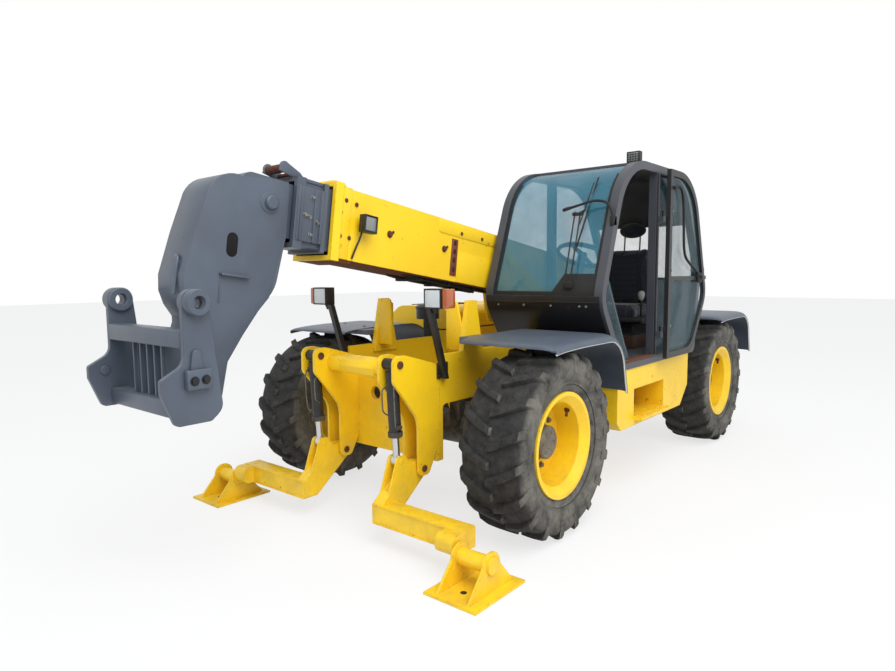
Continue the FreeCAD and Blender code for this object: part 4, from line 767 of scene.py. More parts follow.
def tray(name, low, high, facing, rim_mm, depth_mm, round_mm=3):
    """A softened block with a sunk face that looks one way."""
    low, high = Vector(low), Vector(high)
    facing = Vector(facing)
    bpy.ops.object.select_all(action="DESELECT")
    bpy.ops.mesh.primitive_cube_add(size=1, location=(low + high) / 2, scale=high - low)
    obj = start(name)
    bpy.ops.object.mode_set(mode="EDIT")
    select(obj, "faces", lambda face: face.normal.dot(facing) > 0.9)
    bpy.ops.mesh.inset(thickness=rim_mm * MM)
    bpy.ops.mesh.extrude_region_move(TRANSFORM_OT_translate={"value": -facing * depth_mm * MM})
    bpy.ops.object.mode_set(mode="OBJECT")
    return soften(obj, round_mm)


# ---------------------------------------------------------------- hubs, nuts and valves

# Hub section as (out, along the axle) from the wheel's middle plane.
HUB_SECTION = ((0.0, 0.075), (0.034, 0.075), (0.038, 0.070), (0.092, 0.070), (0.102, 0.063), (0.104, 0.052),
               (0.104, -0.006), (0.126, -0.010), (0.130, -0.0235), (0.0, -0.0235))
NUT_CIRCLE, NUT_COUNT = 0.175, 10
STUD_CIRCLE, STUD_COUNT = 0.064, 6
VALVE_HOLE = 0.256


def circle_places(radius, count, along):
    """Places evenly round the axle of a wheel at the origin."""
    places = []
    for step in range(count):
        angle = math.tau * step / count
        places.append((radius * math.cos(angle), along, radius * math.sin(angle)))
    return places


class HANDLER_OT_wheel_trim(bpy.types.Operator):
    """Bolt the iron planet hubs, wheel nuts and valves onto the rims."""
    bl_idname = "handler.wheel_trim"
    bl_label = "Hubs, nuts and valves"

    def execute(self, context):
        hub = ring("hub", HUB_SECTION, (0, 0, 0), (0, 1, 0))
        studs = bolts("hub_studs", circle_places(STUD_CIRCLE, STUD_COUNT, 0.070), (0, 1, 0), 14, 5)
        nuts = bolts("nuts", circle_places(NUT_CIRCLE, NUT_COUNT, -0.024), (0, 1, 0), 30, 20)
        angle = math.radians(135)
        out = Vector((math.cos(angle), 0, math.sin(angle)))
        foot = out * VALVE_HOLE + Vector((0, 0.09, 0))
        valve = rod("valve", foot, out * 0.205 + Vector((0, 0.105, 0)), 9)
        collar = rod("valve_collar", foot, out * 0.243 + Vector((0, 0.094, 0)), 17)
        parts = ((joined("hub", [hub, studs]), "planet_hub", "hub_iron"), (nuts, "wheel_nuts", "hub_iron"),
                 (joined("valve", [valve, collar]), "valve", "rust"))
        for wheel in WHEELS:
            for part, name, material in parts:
                made = copied(part, f"{wheel}_{name}")
                if "right" in wheel:
                    made = flipped(made)
                only(made)
                made.location = wheel_middle(wheel)
                finish(start(made.name), wheel + "_wheel", material)
        for part, _, _ in parts:
            bpy.data.objects.remove(part)
        return {"FINISHED"}


# ---------------------------------------------------------------- seat

CUSHION_VOXEL = 7 * MM
CUSHION_PRESSURE = 4
LAST_FRAME = 20
SEAT_MIDDLE = 640
SEAT_HINGE = at(-2070, SEAT_MIDDLE, 1330)
BACK_LEAN = 6.5


def plumped(obj, cap_mm):
    """A cushion filled like a real one: remeshed, swollen as cloth by air pressure, and relaxed."""
    only(obj)
    obj.data.remesh_voxel_size = CUSHION_VOXEL
    bpy.ops.object.voxel_remesh()
    before = [vertex.co.copy() for vertex in obj.data.vertices]
    air = obj.modifiers.new("air", "CLOTH")
    air.settings.use_pressure = True
    air.settings.uniform_pressure_force = CUSHION_PRESSURE
    air.settings.effector_weights.gravity = 0
    for number in range(1, LAST_FRAME + 1):
        bpy.context.scene.frame_set(number)
    bpy.ops.object.modifier_apply(modifier=air.name)
    bpy.context.scene.frame_set(1)
    for vertex, place in zip(obj.data.vertices, before):
        shift = vertex.co - place
        if shift.length > cap_mm * MM:
            vertex.co = place + shift * (cap_mm * MM / shift.length)
    relax = obj.modifiers.new("relax", "SMOOTH")
    relax.factor = 0.5
    relax.iterations = 6
    bpy.ops.object.modifier_apply(modifier=relax.name)
    bpy.ops.object.shade_smooth()
    return obj


def sewn(obj, lines, depth_mm, width_mm=9):
    """Press stitched channels into a cushion: each line is a place and an axis that it is measured along."""
    for vertex in obj.data.vertices:
        push = 0.0
        for place, axis in lines:
            push += math.exp(-((vertex.co[axis] - place) / (width_mm * MM)) ** 2)
        vertex.co -= vertex.normal * min(push, 1.0) * depth_mm * MM
    return obj


def leaned(obj, hinge, degrees):
    """Tip a piece back about a line across the machine."""
    only(obj)
    bpy.ops.transform.rotate(value=-math.radians(degrees), orient_axis="Y", center_override=hinge)
    return start(obj.name)


class HANDLER_OT_seat(bpy.types.Operator):
    """Upholster the driver's seat: filled cushions, oval headrest on two posts, shell, bellows, base and a control
    lever.
    """
    bl_idname = "handler.seat"
    bl_label = "Driver's seat"

    def execute(self, context):
        side = SEAT_MIDDLE
        pan = block("seat_cushion", at(-2075, side - 225, 1232), at(-1645, side + 225, 1318), 30)
        pan = sewn(plumped(pan, 24), ((side * MM - 0.13, 1), (side * MM + 0.13, 1)), 5)
        back = block("seat_back", at(-2078, side - 215, 1330), at(-2000, side + 215, 1825), 30)
        for vertex in back.data.vertices:
            if vertex.co.z > 1.6:
                vertex.co.y = side * MM + (vertex.co.y - side * MM) * 0.93
        back = sewn(plumped(back, 22), ((side * MM - 0.12, 1), (side * MM + 0.12, 1), (1.74, 2)), 5)
        back = leaned(back, SEAT_HINGE, BACK_LEAN)
        bpy.ops.object.select_all(action="DESELECT")
        bpy.ops.mesh.primitive_uv_sphere_add(segments=40, ring_count=20, radius=1, location=at(-2096, side, 1972),
                                             scale=(0.040, 0.122, 0.066))
        head = plumped(start("seat_headrest"), 6)
        for cushion, fill in ((pan, 0.75), (back, 0.8), (head, 0.9)):
            finish(cushion, "machine", "seat_fabric")
        posts = [rod("seat_posts", at(-2083, side + edge * 70, 1800), at(-2096, side + edge * 70, 1950), 7)
                 for edge in HANDS]
        fit("seat_posts", posts, "machine", "pipe_steel")
        shell = [
            block("seat_shell", at(-2090, side - 235, 1200), at(-1640, side + 235, 1240), 14),
            leaned(block("seat_shell", at(-2112, side - 205, 1290), at(-2086, side + 205, 1780), 12),
                   SEAT_HINGE, BACK_LEAN),
        ]
        fit("seat_shell", shell, "machine", "black_rubber")
        bellows = [block("seat_bellows", at(-2080 + step % 2 * 12, side - 170 + step % 2 * 12, 1080 + step * 20),
                         at(-1740 - step % 2 * 12, side + 170 - step % 2 * 12, 1102 + step * 20), 5)
                   for step in range(6)]
        fit("seat_bellows", bellows, "machine", "black_rubber")
        base = [block("seat_base", at(-2110, side - 175, 970), at(-1740, side + 175, 1085), 8),
                block("seat_base", at(-1745, side - 110, 990), at(-1732, side + 110, 1065), 4)]
        seat_box = fit("seat_base", base, "machine", "brown_plastic")
        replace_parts(seat_box, "seat")
        lever = [rod("control_lever", at(-1830, side + 200, 1225), at(-1800, side + 215, 1390), 8),
                 block("control_lever", at(-1900, side + 185, 1180), at(-1760, side + 245, 1235), 12)]
        fit("control_lever", lever, "machine", "lamp_plastic")
        knob = ring("lever_knob", ((0.0, 0.045), (0.014, 0.043), (0.025, 0.030), (0.028, 0.010), (0.020, -0.022),
                                   (0.010, -0.034), (0.0, -0.036)), at(-1797, side + 217, 1410), (0.1, 0.05, 1), 24)
        finish(knob, "machine", "grey_plastic")
        return {"FINISHED"}


# ---------------------------------------------------------------- lamps

HEADLAMP_MIDDLE = 521
ROOF_LAMP_MIDDLE = 1020


class HANDLER_OT_lamps(bpy.types.Operator):
    """Fit the headlamps with their amber indicators, the two work lamps and the tail lamps."""
    bl_idname = "handler.lamps"
    bl_label = "Lamps"

    def execute(self, context):
        name = "headlamp_housings"
        housings = []
        for side, hand in SIDES:
            middle = hand * HEADLAMP_MIDDLE
            inner, outer = sorted((hand * 455, hand * 587))
            housings += [tray(name, at(388, inner, 1400), at(472, outer, 1520), (1, 0, 0), 7, 6, 5),
                         block(name, at(378, middle - 34, 1420), at(392, middle + 34, 1500), 8),
                         rod(name, at(408, hand * 500, 1370), at(424, hand * 500, 1402), 13)]
            glass = block(side + "_headlamp_lens", at(462, middle - 58, 1408), at(471, middle + 58, 1512), 6)
            finish(glass, "machine", "clear_lens")
            inner, outer = sorted((hand * 587, hand * 631))
            amber = block(side + "_indicator_lens", at(382, inner, 1402), at(462, outer, 1518), 9)
            finish(amber, "machine", "amber_lens")
        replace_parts(fit(name, housings, "machine", "lamp_plastic"), "headlamps")
        cup = tray("boom_lamp_housing", mm(4078, 190, -34), mm(4182, 244, 70), (0, 1, 0), 9, 7, 7)
        arm = [block("boom_lamp_arm", mm(4120, 154, 6), mm(4140, 192, 30), 3),
               pipe("boom_lamp_arm", [mm(4150, 186, -30), mm(4158, 184, -70), mm(4176, 172, -130),
                                      mm(4190, 160, -196)], 6)]
        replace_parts(fit_on_boom("boom_lamp_housing", [cup, *arm], "boom", "lamp_plastic"), "boom_work_lamp")
        glass = block("boom_lamp_lens", mm(4090, 232, -22), mm(4170, 241, 58), 6)
        finish(onto_boom(glass), "boom", "smoked_lens")
        name, middle = "roof_lamp_housing", ROOF_LAMP_MIDDLE
        roof = tray(name, at(-1255, middle - 50, 2408), at(-1203, middle + 50, 2486), (1, 0, 0), 8, 7, 14)
        foot = block(name, at(-1245, middle - 16, 2390), at(-1215, middle + 16, 2412), 3)
        bars = [rod(name, at(-1201, middle + step * 20, 2414), at(-1201, middle + step * 20, 2480), 1.8)
                for step in range(-2, 3)]
        bars += [rod(name, at(-1201, middle - 46, up), at(-1201, middle + 46, up), 1.8)
                 for up in (2430, 2447, 2464)]
        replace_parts(fit(name, [roof, foot, *bars], "machine", "lamp_plastic"), "cab_work_lamp")
        glass = block("roof_lamp_lens", at(-1212, middle - 42, 2416), at(-1205, middle + 42, 2478), 6)
        finish(glass, "machine", "smoked_lens")
        for side, hand in SIDES:
            low, high = sorted((hand * 438, hand * 528))
            case = tray(side + "_tail_lamp", at(-4004, low, 890), at(-3962, high, 1010), (-1, 0, 0), 5, 3, 4)
            arm = block(side + "_tail_lamp", at(-3990, hand * 428, 930), at(-3972, hand * 450, 970), 3)
            fit(side + "_tail_lamp", [case, arm], "machine", "lamp_plastic")
            for lamp, foot, top, glass in (("stop", 954, 1003, "red_lens"), ("turn", 897, 948, "amber_lens")):
                finish(block(f"{side}_{lamp}_lens", at(-4003, low + 7, foot), at(-3995, high - 7, top), 3),
                       "machine", glass)
        return {"FINISHED"}


# ---------------------------------------------------------------- cab

# The cab's front from the side, in millimetres: apron, lower corner, raked screen, roof corner.
APRON_TOP, CORNER_TOP, SCREEN_TOP = 1328.3, 1523.4, 2081.7
APRON_RAKE, SCREEN_RAKE = 0.66, 0.3571


def front_skin(height):
    """How far ahead the cab's front face stands at a height, in millimetres."""
    if height < APRON_TOP:
        return -560.5 - (APRON_TOP - height) * APRON_RAKE
    if height < CORNER_TOP:
        return -744.2 + math.sqrt(220 ** 2 - (height - 1449.5) ** 2)
    if height < SCREEN_TOP:
        return -536.9 - (height - CORNER_TOP) * SCREEN_RAKE
    return -1188 + math.sqrt(480 ** 2 - (height - 1920) ** 2)


def front_panel(name, low, high, step, inner, outer, proud, thick):
    """A thin panel that follows the cab's front, with edges that may shift with the height."""
    count = max(2, round((high - low) / step) + 1)
    sections = []
    for place in range(count):
        height = low + (high - low) * place / (count - 1)
        ahead = front_skin(height) + proud
        left, right = inner(height), outer(height)
        sections.append([at(ahead, left, height), at(ahead, right, height),
                         at(ahead - thick, right, height), at(ahead - thick, left, height)])
    made = lofted(name, sections)
    only(made)
    bpy.ops.object.shade_smooth_by_angle(angle=math.radians(30))
    return made


def along_front(height, side, proud):
    """A place that far proud of the cab's front face."""
    return at(front_skin(height) + proud, side, height)


class HANDLER_OT_cab_front(bpy.types.Operator):
    """Trim the cab's front: black screen border with its stepped corner, apron, wiper and mirror arm."""
    bl_idname = "handler.cab_front"
    bl_label = "Cab front"

    def execute(self, context):
        glass = -14
        border = [
            front_panel("screen_border", 1452, 2290, 60, lambda h: 249, lambda h: 276, glass, 4),
            front_panel("screen_border", 1600, 2290, 60, lambda h: 1044, lambda h: 1071, glass, 4),
            front_panel("screen_border", 1452, 1480, 14, lambda h: 249, lambda h: 1071, glass, 4),
            front_panel("screen_border", 1478, 1600, 20, lambda h: 742 + (h - 1478) * 0.62, lambda h: 1071, glass, 4),
        ]
        fit("screen_border", border, "machine", "black_rubber")
        apron = front_panel("cab_apron", 962, 1451, 30, lambda h: 196, lambda h: 1108, 3, 6)
        ledge = front_panel("cab_apron", 1404, 1410, 3, lambda h: 205, lambda h: 1108, 7, 9)
        fit("cab_apron", [apron, ledge], "machine", "black_enamel")
        finish(bolts("apron_screws", [along_front(1382, side, 4) for side in (300, 520, 740, 960, 1010)],
                     (1, 0, 0.2), 12, 4), "machine", "bolt")
        motor = block("wiper_motor", along_front(1500, 838, -8), along_front(1548, 905, 26), 9)
        arms = [rod("wiper_arms", along_front(1530, side, 22), along_front(2030, side - 18, 24), 5, 1, 12)
                for side in (850, 892)]
        arms.append(block("wiper_arms", along_front(2022, 820, 14), along_front(2000, 892, 38), 4))
        sweep = [rod("wiper_arms", along_front(1780, 884, 6), along_front(2270, 926, 8), 6, 1, 12),
                 rod("wiper_arms", along_front(1940, 884, 22), along_front(2230, 918, 22), 4, 1, 12),
                 rod("wiper_arms", along_front(2010, 862, 24), along_front(2040, 905, 16), 7, 1, 12)]
        fit("wiper", [motor, *arms, *sweep], "machine", "black_rubber")
        reach = pipe("mirror_arm", [at(-690, 1120, 1950), at(-672, 1118, 2010), at(-690, 1080, 2075),
                                    at(-700, 985, 2100), at(-690, 880, 2075), at(-682, 770, 2050)], 9)
        root = block("mirror_arm", at(-722, 1100, 1915), at(-672, 1130, 1985), 6)
        tip = rod("mirror_arm", at(-685, 800, 2057), at(-680, 745, 2044), 12)
        fit("mirror_arm", [reach, root, tip], "machine", "black_rubber")
        return {"FINISHED"}


class HANDLER_OT_cab_side(bpy.types.Operator):
    """Hang the door's furniture and line the door opening: bent rail, latch, screws, post seal, entry handle and
    sill.
    """
    bl_idname = "handler.cab_side"
    bl_label = "Cab side and door"

    def execute(self, context):
        rail = pipe("door_rail", [at(-1500, 1222, 2235), at(-1560, 1222, 2262), at(-1660, 1222, 2235),
                                  at(-1700, 1222, 2130), at(-1712, 1222, 1950), at(-1725, 1222, 1800),
                                  at(-1760, 1222, 1725), at(-1850, 1222, 1680), at(-2060, 1222, 1600)], 10)
        feet = [rod("door_rail", at(-1505, 1205, 2238), at(-1505, 1226, 2238), 13),
                rod("door_rail", at(-2055, 1205, 1602), at(-2055, 1226, 1602), 13)]
        fit("door_rail", [rail, *feet], "door", "black_rubber")
        latch = [block("door_latch", at(-2150, 1212, 1520), at(-2050, 1234, 1600), 8),
                 block("door_latch", at(-2250, 1182, 1530), at(-2236, 1212, 1640), 3),
                 rod("door_latch", at(-2140, 1234, 1560), at(-2070, 1246, 1575), 8)]
        fit("door_latch", latch, "door", "black_rubber")
        knobs = bolts("door_screws", [at(-1500, 1214, 1200), at(-1500, 1214, 1620), at(-1500, 1214, 2060)],
                      (0, 1, 0), 16, 5)
        finish(knobs, "door", "bolt")
        grip = pipe("entry_handle", [at(-606, 1090, 1560), at(-626, 1108, 1568), at(-658, 1110, 1690),
                                     at(-698, 1108, 1812), at(-690, 1090, 1820)], 10)
        finish(grip, "machine", "black_rubber")
        post = block("door_post_seal", at(-1410, 1128, 985), at(-1396, 1140, 2340), 4)
        finish(post, "machine", "black_rubber")
        sill = block("door_sill", at(-1385, 1076, 966), at(-905, 1134, 984), 4)
        finish(sill, "machine", "rust")
        return {"FINISHED"}


# ---------------------------------------------------------------- boom

# Doubler plates on the boom's side, along the boom and up from its middle line: upper and lower.
DOUBLER_SHAPES = (
    ((2500, 206), (3424, 206), (3426, 160), *arc((3396, 140), 30, 0, -90, 5), (2500, 112)),
    ((2500, 14), (3186, 14), *arc((3180, -6), 20, 80, 0, 4), (3204, -206), (2500, -206)),
)


class HANDLER_OT_boom_trim(bpy.types.Operator):
    """Dress the outer boom: front collar, doublers, adjuster bolts, blank plate and the pipes beneath."""
    bl_idname = "handler.boom_trim"
    bl_label = "Boom trim"

    def execute(self, context):
        collar = [block("boom_collar", mm(4222, hand * 154, -207), mm(4359, hand * 160, 207), 2) for hand in HANDS]
        collar.append(block("boom_collar", mm(4222, -158, 206), mm(4359, 158, 213), 2))
        collar.append(block("boom_collar", mm(4236, -128, 206), mm(4352, 128, 243), 24))
        doublers = [plate("boom_doublers", "XZ", outline(shape), hand * 154 * MM, hand * 159 * MM, 1.5)
                    for hand in HANDS for shape in DOUBLER_SHAPES]
        fit_on_boom("boom_collar", collar + doublers, "boom", "machine_yellow")
        small = [(4266, 135), (4184, 127), (4293, -77), (4223, -78), (4300, 60), (3174, 140), (2930, 143)]
        places = [mm(along, hand * 160, up) for along, up in small for hand in HANDS]
        heads = [bolts("boom_bolts", [place], (0, 1 if place.y > 0 else -1, 0), 20, 6) for place in places]
        fit_on_boom("boom_bolts", heads, "boom", "rust")
        adjusters = []
        for along, up in ((3888, 6), (3350, 3)):
            for hand in HANDS:
                adjusters.append(bolts("pad_adjusters", [mm(along, hand * 156, up)], (0, hand, 0), 34, 16))
                adjusters.append(bolts("pad_adjusters", [mm(along - 30, hand * 156, up + 18)], (0, hand, 0), 15, 7))
        fit_on_boom("pad_adjusters", adjusters, "boom", "rust")
        blank = plate("blank_plate", "XZ", outline([(3206, -168), (3272, -168), (3272, 90), (3206, 90)]),
                      0.1545, 0.1605, 1.5)
        finish(onto_boom(blank), "boom", "rust_red")
        # Dark blocks in the blank plate's holes: painted shade inside them.
        holes = [block("plate_holes", mm(3226, 158, up - 17), mm(3252, 161.5, up + 17), 4)
                 for up in (62, 2, -58, -124)]
        fit_on_boom("plate_holes", holes, "boom", "black_rubber")
        belly = [block("boom_belly", mm(2760, -146, -214), mm(4345, 146, -207), 2),
                 block("boom_belly", mm(4180, -150, -228), mm(4340, 150, -212), 4)]
        fit_on_boom("boom_belly", belly, "boom", "rust")
        runs = [pipe("boom_pipes", [mm(2700, side, -226), mm(3000, side, -226), mm(3560, side, -226),
                                    mm(3650, side, -212)], 9) for side in (-90, -60, 70, 100)]
        clamps = [block("boom_pipes", mm(along, -120, -242), mm(along + 26, 120, -212), 4)
                  for along in (2900, 3200, 3500)]
        fit_on_boom("boom_pipes", runs + clamps, "boom", "black_rubber")
        return {"FINISHED"}


class HANDLER_OT_middle_trim(bpy.types.Operator):
    """Dress the middle section: wear-pad boxes with their bolts, and the hose guide on its front."""
    bl_idname = "handler.middle_trim"
    bl_label = "Middle section trim"

    def execute(self, context):
        boxes = []
        for hand in HANDS:
            boxes.append(block("pad_boxes", mm(4428, hand * 129, -152), mm(4596, hand * 152, 150), 4))
            for along in (4428, 4474, 4566):
                boxes.append(block("pad_boxes", mm(along, hand * 150, -150), mm(along + 16, hand * 160, 148), 2))
        boxes.append(block("pad_boxes", mm(4420, -136, 176), mm(4600, 136, 197), 4))
        fit_on_boom("pad_boxes", boxes, "middle_section", "boom_grey")
        heads = []
        for hand in HANDS:
            for along, up in ((4545, -7), (4515, -14), (4458, -36), (4500, 96), (4500, -110)):
                heads.append(bolts("pad_bolts", [mm(along, hand * 152, up)], (0, hand, 0), 22, 12))
        fit_on_boom("pad_bolts", heads, "middle_section", "bolt")
        cheeks = [plate("hose_guide", "XZ", outline([
            (4520, 192), (4612, 192), (4700, 208), *arc((4664, 232), 34, -20, 130, 6), (4560, 226)]),
            near * MM, (near + 10) * MM, 2) for near in (-60, 90)]
        fit_on_boom("hose_guide", cheeks, "middle_section", "boom_grey")
        rollers = [rod("guide_rollers", mm(along, -50, up), mm(along, 90, up), radius)
                   for along, up, radius in ((4664, 228, 24), (4590, 212, 14))]
        fit_on_boom("guide_rollers", rollers, "middle_section", "rust")
        return {"FINISHED"}


# Head of the gooseneck seen from the side, along the boom and up from its middle line.
NECK_SHAPE = ((4648, 150), (4770, 141), *arc((4955, -45), 162, 102, 8, 10), (5158, -200), (5200, -420),
              (5192, -500), (5160, -566), (5111, -622), (5107, -650), (5120, -720), (5152, -775),
              (5112, -1080), (5072, -1105), (4965, -1105), (4952, -1080),
              (4934, -847), (4851, -690), (4772, -560), *arc((4830, -420), 132, 210, 170, 4),
              (4676, -287), (4652, -160), (4646, -40))


class HANDLER_OT_neck(bpy.types.Operator):
    """Plate the boom's head: deep cheeks, dark ovals of painted shade where the slots are, pin bosses, ribs and a bar
    on the front.
    """
    bl_idname = "handler.neck"
    bl_label = "Boom head"

    def execute(self, context):
        cheek = plate("neck_cheeks", "XZ", outline(NECK_SHAPE), -0.127, 0.127, 4)
        finish(onto_boom(cheek), "inner_section", "boom_grey")
        # Thin near-black ovals on the cheeks: painted shade where the slots' openings are.
        slot_shade_ovals = []
        for hand in HANDS:
            low, high = sorted((hand * 126.2, hand * 128.2))
            oval = [*arc((4958, -210), 31, 0, 180, 9), *arc((4958, -272), 31, 180, 360, 9)]
            slot_shade_ovals.append(plate("neck_slots", "XZ", outline(oval), low * MM, high * MM, 0.5))
        fit_on_boom("neck_slots", slot_shade_ovals, "inner_section", "slot_painted_shade")
        fittings = []
        for hand in HANDS:
            fittings.append(ring("neck_bosses", ((0.0, 0.030), (0.030, 0.030), (0.036, 0.025), (0.040, 0.006),
                                                 (0.056, 0.004), (0.058, 0.0), (0.058, -0.003), (0.0, -0.003)),
                                 mm(4757, hand * 126, 14), (0, hand, 0), 32))
            fittings.append(block("neck_bosses", mm(4852, hand * 125, -402), mm(5016, hand * 152, -390), 2))
            fittings.append(block("neck_bosses", mm(5004, hand * 126, -540), mm(5012, hand * 131, -394), 2))
        fittings.append(front_bar())
        fit_on_boom("neck_bosses", fittings, "inner_section", "boom_grey")
        return {"FINISHED"}


def front_bar():
    """Welded bar with a hooked top on the neck's front plate."""
    return pipe("neck_bosses", [mm(5190, 20, -330), mm(5196, 52, -334), mm(5202, 60, -360), mm(5206, 62, -420),
                                mm(5206, 60, -520)], 9)


# ---------------------------------------------------------------- carriage

# Inner and outer faces of the carriage's side plates, and where each side's lock lug stands.
CARRIAGE_INSIDE, CARRIAGE_OUT = 357, 382
LUG_FACES = {1: (382, 396), -1: (-416, -396)}


class HANDLER_OT_carriage_trim(bpy.types.Operator):
    """Dress the tool carriage: box members, eye bosses, stop blocks with bolts and the lock pin's lug."""
    bl_idname = "handler.carriage_trim"
    bl_label = "Tool carriage trim"

    def execute(self, context):
        inside, out = CARRIAGE_INSIDE, CARRIAGE_OUT
        beams = [block("carriage_beams", at(1884, -inside, 1288), at(1964, inside, 1370), 9),
                 block("carriage_beams", at(1884, -inside, 962), at(1968, inside, 1042), 9)]
        for hand in HANDS:
            beams.append(ring("carriage_beams", ((0.030, 0.0), (0.056, 0.0), (0.060, 0.006), (0.060, 0.086),
                                                 (0.056, 0.092), (0.030, 0.092)),
                              at(1900, hand * (inside - 24), 1490), (0, hand, 0), 40))
            beams.append(block("carriage_beams", at(1846, hand * out, 1108), at(1966, hand * (out + 34), 1196), 7))
            near, far = LUG_FACES[hand]
            beams.append(plate("carriage_beams", "XZ", outline([
                (1874, 1196), (1938, 1196), (1930, 1250), *arc((1906, 1262), 22, 10, 170, 5), (1882, 1240)],
                FRONT_AXLE), near * MM, far * MM, 2))
        beams.append(rod("carriage_beams", at(1990, -350, 1136), at(1990, -436, 1136), 24))
        beams.append(block("carriage_beams", at(1905, -400, 1118), at(1990, -380, 1154), 6))
        fit("carriage_beams", beams, "tool_carriage", "boom_grey")
        heads = []
        for hand in HANDS:
            for ahead, up in ((1880, 1150), (1934, 1148)):
                heads.append(bolts("carriage_bolts", [at(ahead, hand * (out + 34), up)], (0, hand, 0), 32, 12))
        fit("carriage_bolts", heads, "tool_carriage", "lamp_plastic")
        return {"FINISHED"}


# ---------------------------------------------------------------- stabilisers and chassis

# From a stay cylinder's upper pin towards its lower one.
STAY_LINE = Vector((-35, 0, -595))


class HANDLER_OT_stabiliser_trim(bpy.types.Operator):
    """Pipe the stabiliser cylinders, cap their pins and finish the legs and feet."""
    bl_idname = "handler.stabiliser_trim"
    bl_label = "Stabiliser trim"

    def execute(self, context):
        line = STAY_LINE.normalized()
        for side, hand in SIDES:

            def beside(along, ahead, out):
                """A place beside this side's stay cylinder, measured down from its upper pin."""
                place = Vector((660, hand * 360, 1075)) + line * along
                return at(place.x + ahead, place.y + hand * out, place.z)

            pipes = [pipe(side + "_stay_pipes", [beside(95, 8, 34), beside(95, 30, 48), beside(130, 44, 52),
                                                 beside(230, 46, 52), beside(330, 46, 52), beside(376, 40, 46),
                                                 beside(392, 10, 34)], 4.5),
                     pipe(side + "_stay_pipes", [beside(140, 8, -34), beside(142, 40, -44), beside(180, 50, -46),
                                                 beside(260, 50, -46), beside(300, 48, -44),
                                                 beside(318, 8, -34)], 4.5)]
            fit(side + "_stay_pipes", pipes, side + "_stay_barrel", "pipe_steel")
            ports = [block(side + "_stay_ports", beside(392, -8, 26), beside(370, 30, 56), 4),
                     block(side + "_stay_ports", beside(112, -8, 24), beside(86, 26, 50), 4),
                     ring(side + "_stay_ports", ((0.037, -0.016), (0.044, -0.016), (0.045, -0.012), (0.045, 0.012),
                                                 (0.044, 0.016), (0.037, 0.016)),
                          beside(428, 0, 0), tuple(line), 32)]
            fit(side + "_stay_ports", ports, side + "_stay_barrel", "cast_dark")
            heads = []
            for ahead, up, radius in ((660, 1075, 24), (455, 405, 22)):
                for out, push in ((290, -9), (430, 9)):
                    begin = at(ahead, hand * out, up)
                    heads.append(rod(side + "_pin_heads", begin, begin + mm(0, hand * push, 0), radius, 3))
            fit(side + "_pin_heads", heads, "machine", "rust")
            caps = [rod(side + "_lug_caps", at(625, hand * 318, 480), at(625, hand * 402, 480), 24, 6)]
            caps += [rod(side + "_lug_caps", at(845, hand * 1020, 150), at(845, hand * 1222, 150), 30, 6)]
            caps += [block(side + "_lug_caps", at(684, hand * 325, foot), at(808, hand * 1000, foot + 8), 2)
                     for foot in (246, 134)]
            fit(side + "_lug_caps", caps, side + "_leg", "machine_yellow")
            # Thin black discs on each foot: painted shade inside its holes.
            dots = [rod(side + "_foot_holes", at(ahead, hand * 1120, 13.2), at(ahead, hand * 1120, 15.2), 17, 0.4)
                    for ahead in (760, 940)]
            fit(side + "_foot_holes", dots, side + "_foot", "black_rubber")
        collar = [rod("cross_sleeve", at(556, -150, 1023), at(556, 150, 1023), 66, 4, 8),
                  block("cross_sleeve", at(330, -40, 940), at(512, 40, 1004), 5)]
        fit("cross_sleeve", collar, "machine", "machine_yellow")
        return {"FINISHED"}


def shell(name, rows, columns, place, thick_mm):
    """A thin shell on a grid of places, thickened on its inner side."""
    bpy.ops.object.select_all(action="DESELECT")
    bpy.ops.mesh.primitive_grid_add(x_subdivisions=rows - 1, y_subdivisions=columns - 1, size=1)
    obj = start(name)
    for vertex in obj.data.vertices:
        row = round((vertex.co.x + 0.5) * (rows - 1))
        column = round((vertex.co.y + 0.5) * (columns - 1))
        vertex.co = place(row, column)
    only(obj)
    wall = obj.modifiers.new("wall", "SOLIDIFY")
    wall.thickness = thick_mm * MM
    wall.offset = -1
    bpy.ops.object.modifier_apply(modifier=wall.name)
    outward(obj)
    bpy.ops.object.shade_smooth_by_angle(angle=math.radians(50))
    return obj


# Fender seen from the side: dropping nose, level crown, and a rear that falls behind the wheel.
FENDER_LINE = ((232, 1172), (229, 1180), (214, 1187), (180, 1193), (120, 1199), (40, 1203), (-80, 1207),
               (-260, 1208), (-400, 1208), *arc((-481, 950), 258, 90, 166, 10), (-757, 900), (-782, 800))
# Across the fender: side distance, and how far the rolled edge drops.
FENDER_ROLL = ((540, 0), (700, 0), (900, 0), (1080, 0), (1140, 2), (1175, 8), (1198, 18), (1210, 31), (1213, 44))


def fender_place(middle, hand, row, column):
    """A place on the fender's skin, with its outer edge rolled down."""
    ahead, up = FENDER_LINE[row]
    before, after = FENDER_LINE[max(row - 1, 0)], FENDER_LINE[min(row + 1, len(FENDER_LINE) - 1)]
    across = Vector((after[1] - before[1], before[0] - after[0])).normalized()
    side, drop = FENDER_ROLL[column]
    return at(middle + ahead - across.x * drop, hand * side, up - across.y * drop)


